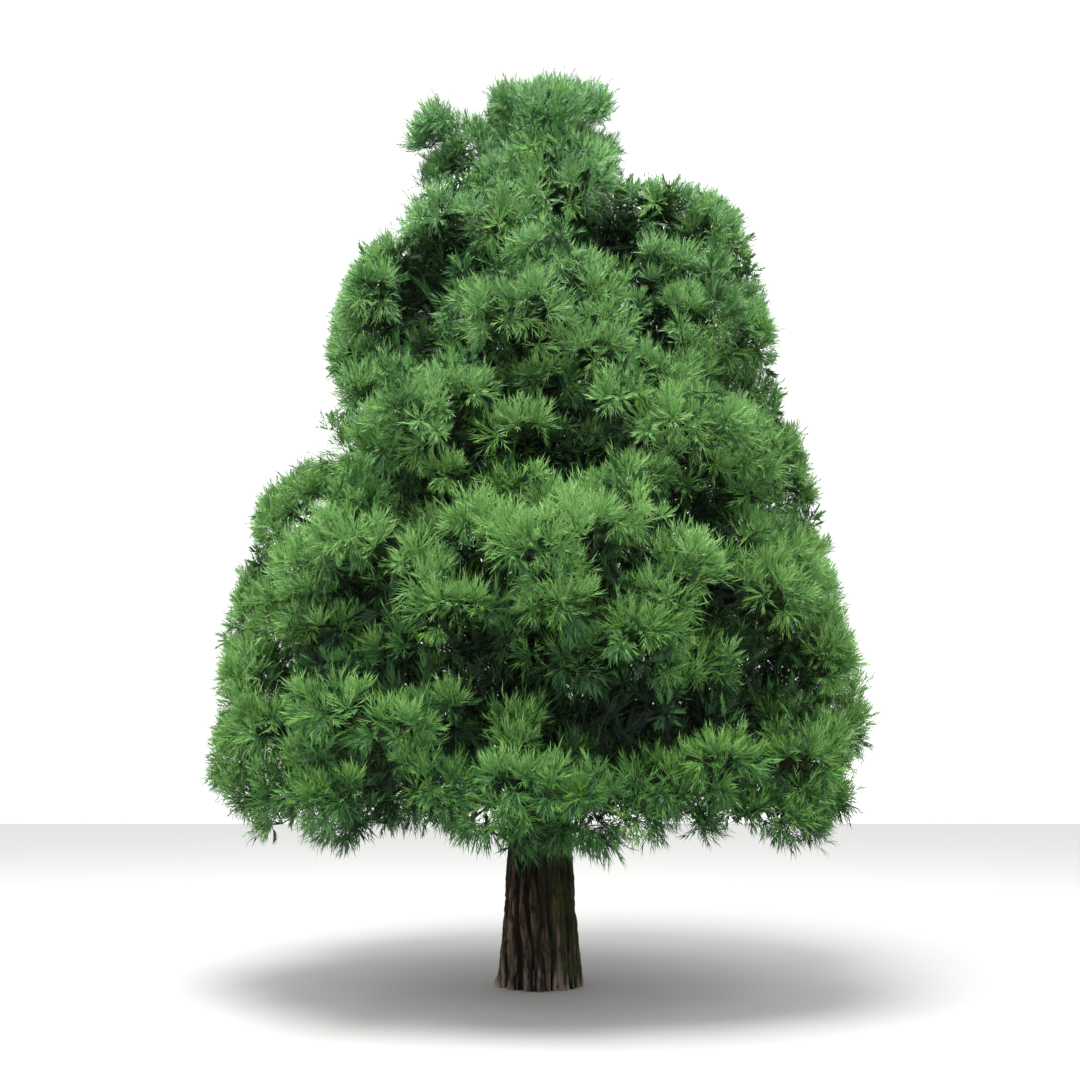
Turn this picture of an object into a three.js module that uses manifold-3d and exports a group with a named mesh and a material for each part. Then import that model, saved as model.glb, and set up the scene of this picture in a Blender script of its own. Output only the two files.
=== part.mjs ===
// Young giant sequoia, open grown, rooted in level ground. Millimetres, +Z up.
// Origin: centre of the flat cut under the trunk, at ground level.
// The viewer of the front stands on the -Y side: azimuth 0 faces the viewer, +90 is the viewer's right (+X).
//
// One trunk from root flare to leader tip, six tiers of foliage masses in a shell round it,
// and one tapering bough from the trunk to each mass. The masses round
// the leader are carried by the trunk itself.

import * as THREE from "three";
import { mergeVertices } from "three/addons/utils/BufferGeometryUtils.js";
import Module from "manifold-3d";

const wasm = await Module();
wasm.setup();

// ---- driving dimensions ----
const GAP = 0.4; // clearance between neighbouring solids
const MASS_GAP = 6; // clear width of the seam between two foliage masses
const SHELL_CLEAR = 70; // least space between a mass and the bark

const TRUNK_TOP = 8950; // leader tip, inside the leader mass
const TRUNK_SIDES = 26;
const TRUNK_RINGS = 17;
// mean trunk radius at heights above ground
const TRUNK_TAPER = [
  [0, 352],
  [120, 340],
  [370, 322],
  [710, 298],
  [1050, 276],
  [2000, 246],
  [4000, 184],
  [6000, 118],
  [8000, 46],
  [TRUNK_TOP, 9],
];
const FLUTES = 9; // buttress ribs of the root flare
const FLUTE_DEPTH = 0.075; // share of the radius, at the ground
const FLUTE_FADE = 620; // height over which the ribs die out
const TRUNK_SWAY = 16; // gentle bow of the stem

const BOUGH_SIDES = 6;
const BOUGH_STEPS = 6;

// ---- foliage masses, tier by tier ----
// az: azimuth in degrees, z: height of the centre, out: distance of the centre from the trunk,
// deep / wide / tall: half sizes away from the trunk, round it and upwards,
// tilt: degrees that the outer end is raised (negative droops)
// onStem: the mass sits on the trunk itself, which runs up through it or along it
const TIERS = [
  {
    tier: "skirt",
    bough: { rise: 330, bend: 130, r0: 46, r1: 26 },
    masses: [
      { side: "left", az: -72, z: 2150, out: 2000, deep: 980, wide: 1040, tall: 870, tilt: -10 },
      { side: "front_left", az: -31, z: 2080, out: 1980, deep: 920, wide: 920, tall: 800, tilt: -12 },
      { side: "front", az: 0, z: 1830, out: 1780, deep: 880, wide: 860, tall: 660, tilt: -14 },
      { side: "front_right", az: 29, z: 2060, out: 1960, deep: 880, wide: 800, tall: 700, tilt: -12 },
      { side: "right", az: 62, z: 1960, out: 2080, deep: 900, wide: 880, tall: 760, tilt: -8 },
      { side: "back_right", az: 103, z: 2360, out: 2170, deep: 930, wide: 1060, tall: 860, tilt: -8 },
      { side: "back", az: 161, z: 1990, out: 2060, deep: 960, wide: 1240, tall: 800, tilt: -12 },
      { side: "back_left", az: 222, z: 2030, out: 2060, deep: 960, wide: 1240, tall: 820, tilt: -12 },
    ],
  },
  {
    tier: "lower",
    bough: { rise: 40, bend: 90, r0: 42, r1: 24 },
    masses: [
      { side: "left", az: -84, z: 3460, out: 1910, deep: 930, wide: 1060, tall: 860, tilt: 2 },
      { side: "front_left", az: -38, z: 3340, out: 1990, deep: 920, wide: 1000, tall: 790, tilt: 0 },
      { side: "front", az: 5, z: 3120, out: 1960, deep: 940, wide: 1060, tall: 760, tilt: -2 },
      { side: "right", az: 53, z: 3100, out: 2120, deep: 910, wide: 1060, tall: 770, tilt: 0 },
      { side: "back_right", az: 107, z: 3520, out: 2060, deep: 950, wide: 1270, tall: 840, tilt: 2 },
      { side: "back", az: 163, z: 3380, out: 1960, deep: 960, wide: 1300, tall: 840, tilt: 0 },
      { side: "back_left", az: 219, z: 3400, out: 1980, deep: 960, wide: 1300, tall: 850, tilt: 0 },
    ],
  },
  {
    tier: "middle",
    bough: { rise: -170, bend: 60, r0: 37, r1: 21 },
    masses: [
      { side: "front_left", az: -34, z: 4580, out: 1620, deep: 880, wide: 1040, tall: 740, tilt: 8 },
      { side: "front_right", az: 35, z: 4560, out: 1700, deep: 900, wide: 1120, tall: 760, tilt: 6 },
      { side: "right", az: 99, z: 4740, out: 1760, deep: 900, wide: 1240, tall: 840, tilt: 8 },
      { side: "back", az: 174, z: 4720, out: 1640, deep: 900, wide: 1330, tall: 810, tilt: 8 },
      { side: "left", az: 251, z: 4780, out: 1540, deep: 880, wide: 1230, tall: 750, tilt: 8 },
    ],
  },
  {
    tier: "upper",
    bough: { rise: -250, bend: 30, r0: 30, r1: 17 },
    masses: [
      { side: "front", az: 1, z: 5560, out: 1260, deep: 830, wide: 1000, tall: 730, tilt: 12 },
      { side: "right", az: 63, z: 5800, out: 1450, deep: 840, wide: 930, tall: 740, tilt: 12 },
      { side: "back_right", az: 133, z: 5920, out: 1400, deep: 840, wide: 1120, tall: 790, tilt: 12 },
      { side: "back_left", az: 207, z: 5900, out: 1340, deep: 840, wide: 1140, tall: 780, tilt: 12 },
      { side: "left", az: -73, z: 5960, out: 1380, deep: 840, wide: 940, tall: 760, tilt: 10 },
    ],
  },
  {
    tier: "high",
    bough: { rise: -300, bend: 10, r0: 24, r1: 14 },
    masses: [
      { side: "left", az: -48, z: 6760, out: 1020, deep: 740, wide: 840, tall: 480, tilt: 14 },
      { side: "front", az: 8, z: 7130, out: 640, deep: 680, wide: 760, tall: 640, tilt: 6, onStem: true },
      { side: "right", az: 76, z: 6960, out: 1290, deep: 760, wide: 900, tall: 700, tilt: 16 },
      { side: "back", az: 190, z: 7060, out: 840, deep: 860, wide: 1040, tall: 740, tilt: 10, onStem: true },
    ],
  },
  {
    tier: "crown",
    bough: { rise: -420, bend: -40, r0: 17, r1: 10 },
    masses: [
      { side: "left", az: -76, z: 8060, out: 1000, deep: 470, wide: 500, tall: 350, tilt: 22 },
      { side: "leader", az: 74, z: 8320, out: 140, deep: 780, wide: 680, tall: 640, tilt: 0, onStem: true },
    ],
  },
];

// ---- small helpers ----
// Seeded generator, so that each build gives the same tree.
function seeded(seed) {
  let a = seed >>> 0;
  return () => {
    a = (a + 0x6d2b79f5) >>> 0;
    let t = a;
    t = Math.imul(t ^ (t >>> 15), t | 1);
    t ^= t + Math.imul(t ^ (t >>> 7), t | 61);
    return ((t ^ (t >>> 14)) >>> 0) / 4294967296;
  };
}

function along(table, z) {
  if (z <= table[0][0]) return table[0][1];
  for (let i = 1; i < table.length; i++) {
    const [z0, a] = table[i - 1],
      [z1, b] = table[i];
    if (z <= z1) return a + ((b - a) * (z - z0)) / (z1 - z0);
  }
  return table[table.length - 1][1];
}

const rad = THREE.MathUtils.degToRad;
const outward = (az) => new THREE.Vector3(Math.sin(rad(az)), -Math.cos(rad(az)), 0);

function solidOf(geometry) {
  const g = geometry.index ? geometry.toNonIndexed() : geometry.clone();
  g.deleteAttribute("normal");
  g.deleteAttribute("uv");
  const merged = mergeVertices(g, 1e-3);
  return new wasm.Manifold(
    new wasm.Mesh({
      numProp: 3,
      vertProperties: new Float32Array(merged.attributes.position.array),
      triVerts: new Uint32Array(merged.index.array),
    }),
  );
}

function geometryOf(solid) {
  const m = solid.getMesh();
  const v = new Float32Array(m.numVert * 3);
  for (let i = 0; i < m.numVert; i++)
    v.set(m.vertProperties.subarray(i * m.numProp, i * m.numProp + 3), i * 3);
  const g = new THREE.BufferGeometry();
  g.setAttribute("position", new THREE.BufferAttribute(v, 3));
  g.setIndex(new THREE.BufferAttribute(new Uint32Array(m.triVerts), 1));
  g.computeVertexNormals();
  return g;
}

const largest = (solid) =>
  solid.decompose().reduce((a, b) => (b.volume() > a.volume() ? b : a));

// ---- trunk ----
const stemCentre = (z) => {
  const t = z / TRUNK_TOP;
  return [TRUNK_SWAY * Math.sin(Math.PI * t * 1.6), TRUNK_SWAY * 0.7 * Math.sin(Math.PI * t * 2.3)];
};

function stemRadius(z, turn) {
  const fade = Math.exp(-z / FLUTE_FADE);
  const ribs =
    Math.cos(FLUTES * turn) + 0.6 * Math.cos(5 * turn + 1.1) + 0.4 * Math.cos(3 * turn + 2.4);
  return along(TRUNK_TAPER, z) * (1 + FLUTE_DEPTH * 0.5 * fade * ribs);
}

function trunkGeometry(extra = 0) {
  // a unit cylinder whose rings are moved to the real heights, closer together in the root flare
  const g = new THREE.CylinderGeometry(1, 1, 1, TRUNK_SIDES, TRUNK_RINGS);
  const p = g.attributes.position;
  for (let i = 0; i < p.count; i++) {
    const t = p.getY(i) + 0.5;
    const reach = Math.hypot(p.getX(i), p.getZ(i));
    const turn = Math.atan2(p.getX(i), p.getZ(i));
    const z = TRUNK_TOP * Math.pow(t, 1.7);
    const [cx, cy] = stemCentre(z);
    const r = reach < 1e-6 ? 0 : stemRadius(z, turn) + extra;
    const cap = extra ? (t > 0.999 ? extra : t < 0.001 ? -extra : 0) : 0;
    p.setXYZ(i, cx * t + r * Math.sin(turn), cy * t - r * Math.cos(turn), z + cap);
  }
  return g;
}

// ---- foliage masses ----
// Every mass is a ball of directions pushed out to an uneven ellipsoid and then held inside the
// planes that part it from its neighbours and from the stem, so no two masses can meet.
function frameOf(m) {
  const away = outward(m.az);
  const c = away.clone().multiplyScalar(m.out).setZ(m.z);
  const round = new THREE.Vector3(0, 0, 1).cross(away).normalize();
  const tilt = rad(m.tilt);
  const deepAxis = away
    .clone()
    .multiplyScalar(Math.cos(tilt))
    .add(new THREE.Vector3(0, 0, Math.sin(tilt)));
  const tallAxis = deepAxis.clone().cross(round).normalize();
  return { c, deepAxis, round, tallAxis };
}

function reachAlong(m, n) {
  const f = m.frame;
  return Math.hypot(
    n.dot(f.deepAxis) * m.deep,
    n.dot(f.round) * m.wide,
    n.dot(f.tallAxis) * m.tall,
  );
}

function lumps(random) {
  // a few broad swells and a few finer ones, each with its own direction and phase
  const waves = [];
  for (let i = 0; i < 9; i++) {
    const fine = i >= 4;
    const d = new THREE.Vector3(random() - 0.5, random() - 0.5, random() - 0.5).normalize();
    waves.push({
      d: d.multiplyScalar(fine ? 4.6 + 2.2 * random() : 2 + 1.2 * random()),
      phase: random() * Math.PI * 2,
      size: fine ? 0.044 : 0.05,
    });
  }
  return (n) => waves.reduce((s, w) => s + w.size * Math.sin(n.dot(w.d) + w.phase), 1);
}

function massGeometry(m) {
  const g = new THREE.IcosahedronGeometry(1, 2);
  const p = g.attributes.position;
  const f = m.frame;
  const swell = lumps(seeded(m.seed));
  const n = new THREE.Vector3();
  for (let i = 0; i < p.count; i++) {
    n.set(p.getX(i), p.getY(i), p.getZ(i)).normalize();
    const w = new THREE.Vector3()
      .addScaledVector(f.deepAxis, n.x)
      .addScaledVector(f.round, n.y)
      .addScaledVector(f.tallAxis, n.z);
    let r = swell(n) / Math.hypot(n.x / m.deep, n.y / m.wide, n.z / m.tall);
    for (const { normal, limit } of m.planes) {
      const k = normal.dot(w);
      if (k > 1e-6) r = Math.min(r, limit / k);
    }
    p.setXYZ(i, f.c.x + w.x * r, f.c.y + w.y * r, f.c.z + w.z * r);
  }
  return g;
}

const masses = [];
for (const { tier, bough, masses: list } of TIERS)
  for (const m of list)
    masses.push({
      ...m,
      tier,
      bough,
      name: `foliage_${tier}_${m.side}`,
      boughName: m.onStem ? null : `bough_${tier}_${m.side}`,
      seed: 7001 + masses.length * 131,
      frame: frameOf(m),
      planes: [],
    });

for (let i = 0; i < masses.length; i++) {
  const a = masses[i];
  for (let j = i + 1; j < masses.length; j++) {
    const b = masses[j];
    const n = b.frame.c.clone().sub(a.frame.c);
    const d = n.length();
    n.divideScalar(d);
    const ra = reachAlong(a, n),
      rb = reachAlong(b, n);
    if ((ra + rb) * 1.3 < d) continue;
    const split = (d * ra) / (ra + rb);
    a.planes.push({ normal: n.clone(), limit: split - MASS_GAP / 2 });
    b.planes.push({ normal: n.clone().negate(), limit: d - split - MASS_GAP / 2 });
  }
  if (!a.onStem) {
    const bark = along(TRUNK_TAPER, a.z) + SHELL_CLEAR + TRUNK_SWAY;
    a.planes.push({ normal: outward(a.az).negate(), limit: a.out - bark });
  }
}

// ---- assembly ----
const barkMaterial = new THREE.MeshStandardMaterial({ color: 0x4a3024, roughness: 0.95, metalness: 0 });
const boughMaterial = new THREE.MeshStandardMaterial({ color: 0x5a4236, roughness: 0.92, metalness: 0 });
const foliageMaterial = new THREE.MeshStandardMaterial({ color: 0x3f7335, roughness: 0.75, metalness: 0 });

const tree = new THREE.Group();
function place(name, geometry, material) {
  const mesh = new THREE.Mesh(geometry, material);
  mesh.name = name;
  tree.add(mesh);
  return mesh;
}

place("trunk", geometryOf(solidOf(trunkGeometry())), barkMaterial);
const stemGrown = solidOf(trunkGeometry(GAP));

for (const m of masses) {
  m.whole = solidOf(massGeometry(m));
  const solid = m.onStem ? largest(m.whole.subtract(stemGrown)) : m.whole;
  place(m.name, geometryOf(solid), foliageMaterial);
}

// The mass a little larger all round, to part the boughs from it.
for (const m of masses) {
  const { c } = m.frame;
  const s = 1 + GAP / 240;
  m.grown = m.whole.translate([-c.x, -c.y, -c.z]).scale([s, s, s]).translate([c.x, c.y, c.z]);
}

// One tapering limb, from inside the stem to inside its mass, on a single easy curve.
function boughGeometry(m) {
  const { c } = m.frame;
  const away = outward(m.az);
  const z0 = m.z + m.bough.rise;
  const [sx, sy] = stemCentre(z0);
  const start = new THREE.Vector3(sx, sy, z0);
  const end = c.clone().addScaledVector(away, -0.15 * m.deep);
  const mid = start
    .clone()
    .lerp(end, 0.5)
    .add(new THREE.Vector3(0, 0, m.bough.bend));
  const curve = new THREE.QuadraticBezierCurve3(start, mid, end);
  const g = new THREE.CylinderGeometry(1, 1, 1, BOUGH_SIDES, BOUGH_STEPS);
  const p = g.attributes.position;
  const side = new THREE.Vector3(0, 0, 1).cross(away).normalize();
  for (let i = 0; i < p.count; i++) {
    const t = p.getY(i) + 0.5;
    const at = curve.getPoint(t),
      tangent = curve.getTangent(t);
    const binormal = side.clone().cross(tangent).normalize();
    const r = THREE.MathUtils.lerp(m.bough.r0, m.bough.r1, t);
    at.addScaledVector(side, p.getX(i) * r).addScaledVector(binormal, p.getZ(i) * r);
    p.setXYZ(i, at.x, at.y, at.z);
  }
  return g;
}

for (const m of masses) {
  if (!m.boughName) continue;
  let limb = solidOf(boughGeometry(m)).subtract(stemGrown);
  for (const other of masses) limb = limb.subtract(other.grown);
  place(m.boughName, geometryOf(largest(limb)), boughMaterial);
}

export default tree;
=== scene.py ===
import math

import bpy
import numpy as np
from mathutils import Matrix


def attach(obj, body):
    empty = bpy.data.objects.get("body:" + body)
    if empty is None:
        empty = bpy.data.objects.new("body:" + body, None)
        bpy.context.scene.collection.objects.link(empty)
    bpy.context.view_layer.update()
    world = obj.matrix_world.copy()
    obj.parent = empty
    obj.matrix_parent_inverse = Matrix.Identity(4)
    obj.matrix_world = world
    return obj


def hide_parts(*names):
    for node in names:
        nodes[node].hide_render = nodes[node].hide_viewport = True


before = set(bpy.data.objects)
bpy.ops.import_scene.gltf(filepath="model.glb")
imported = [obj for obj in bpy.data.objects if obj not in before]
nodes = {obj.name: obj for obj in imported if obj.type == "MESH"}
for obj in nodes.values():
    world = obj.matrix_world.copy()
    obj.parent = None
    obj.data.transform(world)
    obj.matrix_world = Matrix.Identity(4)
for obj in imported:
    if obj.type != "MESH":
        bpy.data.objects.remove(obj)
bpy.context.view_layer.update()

UP = np.array([0.0, 0.0, 1.0])

# ------------------------------------------------------------------ named sizes, in metres
TRUNK_TOP = 8.95
TRUNK_TAPER = np.array([(0, 0.352), (0.12, 0.340), (0.37, 0.322), (0.71, 0.298), (1.05, 0.276), (2, 0.246), (4, 0.184), (6, 0.118), (8, 0.046), (8.95, 0.009)])
TRUNK_SWAY = 0.016
FLUTES, FLUTE_DEPTH, FLUTE_FADE = 9, 0.075, 0.62

# tier: (rise, bend, r0, r1) of its boughs, then its masses as side: (az, z, out, deep, wide, tall, tilt)
TIERS = {
    "skirt": ((0.33, 0.13, 0.046, 0.026), {
        "left": (-72, 2.15, 2.00, 0.98, 1.04, 0.87, -10),
        "front_left": (-31, 2.08, 1.98, 0.92, 0.92, 0.80, -12),
        "front": (0, 1.83, 1.78, 0.88, 0.86, 0.66, -14),
        "front_right": (29, 2.06, 1.96, 0.88, 0.80, 0.70, -12),
        "right": (62, 1.96, 2.08, 0.90, 0.88, 0.76, -8),
        "back_right": (103, 2.36, 2.17, 0.93, 1.06, 0.86, -8),
        "back": (161, 1.99, 2.06, 0.96, 1.24, 0.80, -12),
        "back_left": (222, 2.03, 2.06, 0.96, 1.24, 0.82, -12),
    }),
    "lower": ((0.04, 0.09, 0.042, 0.024), {
        "left": (-84, 3.46, 1.91, 0.93, 1.06, 0.86, 2),
        "front_left": (-38, 3.34, 1.99, 0.92, 1.00, 0.79, 0),
        "front": (5, 3.12, 1.96, 0.94, 1.06, 0.76, -2),
        "right": (53, 3.10, 2.12, 0.91, 1.06, 0.77, 0),
        "back_right": (107, 3.52, 2.06, 0.95, 1.27, 0.84, 2),
        "back": (163, 3.38, 1.96, 0.96, 1.30, 0.84, 0),
        "back_left": (219, 3.40, 1.98, 0.96, 1.30, 0.85, 0),
    }),
    "middle": ((-0.17, 0.06, 0.037, 0.021), {
        "front_left": (-34, 4.58, 1.62, 0.88, 1.04, 0.74, 8),
        "front_right": (35, 4.56, 1.70, 0.90, 1.12, 0.76, 6),
        "right": (99, 4.74, 1.76, 0.90, 1.24, 0.84, 8),
        "back": (174, 4.72, 1.64, 0.90, 1.33, 0.81, 8),
        "left": (251, 4.78, 1.54, 0.88, 1.23, 0.75, 8),
    }),
    "upper": ((-0.25, 0.03, 0.030, 0.017), {
        "front": (1, 5.56, 1.26, 0.83, 1.00, 0.73, 12),
        "right": (63, 5.80, 1.45, 0.84, 0.93, 0.74, 12),
        "back_right": (133, 5.92, 1.40, 0.84, 1.12, 0.79, 12),
        "back_left": (207, 5.90, 1.34, 0.84, 1.14, 0.78, 12),
        "left": (-73, 5.96, 1.38, 0.84, 0.94, 0.76, 10),
    }),
    "high": ((-0.30, 0.01, 0.024, 0.014), {
        "left": (-48, 6.76, 1.02, 0.74, 0.84, 0.48, 14),
        "front": (8, 7.13, 0.64, 0.68, 0.76, 0.64, 6),
        "right": (76, 6.96, 1.29, 0.76, 0.90, 0.70, 16),
        "back": (190, 7.06, 0.84, 0.86, 1.04, 0.74, 10),
    }),
    "crown": ((-0.42, -0.04, 0.017, 0.010), {
        "left": (-76, 8.06, 1.00, 0.47, 0.50, 0.35, 22),
        "leader": (74, 8.32, 0.14, 0.78, 0.68, 0.64, 0),
    }),
}
ON_STEM = {"foliage_high_front", "foliage_high_back", "foliage_crown_leader"}

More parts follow.
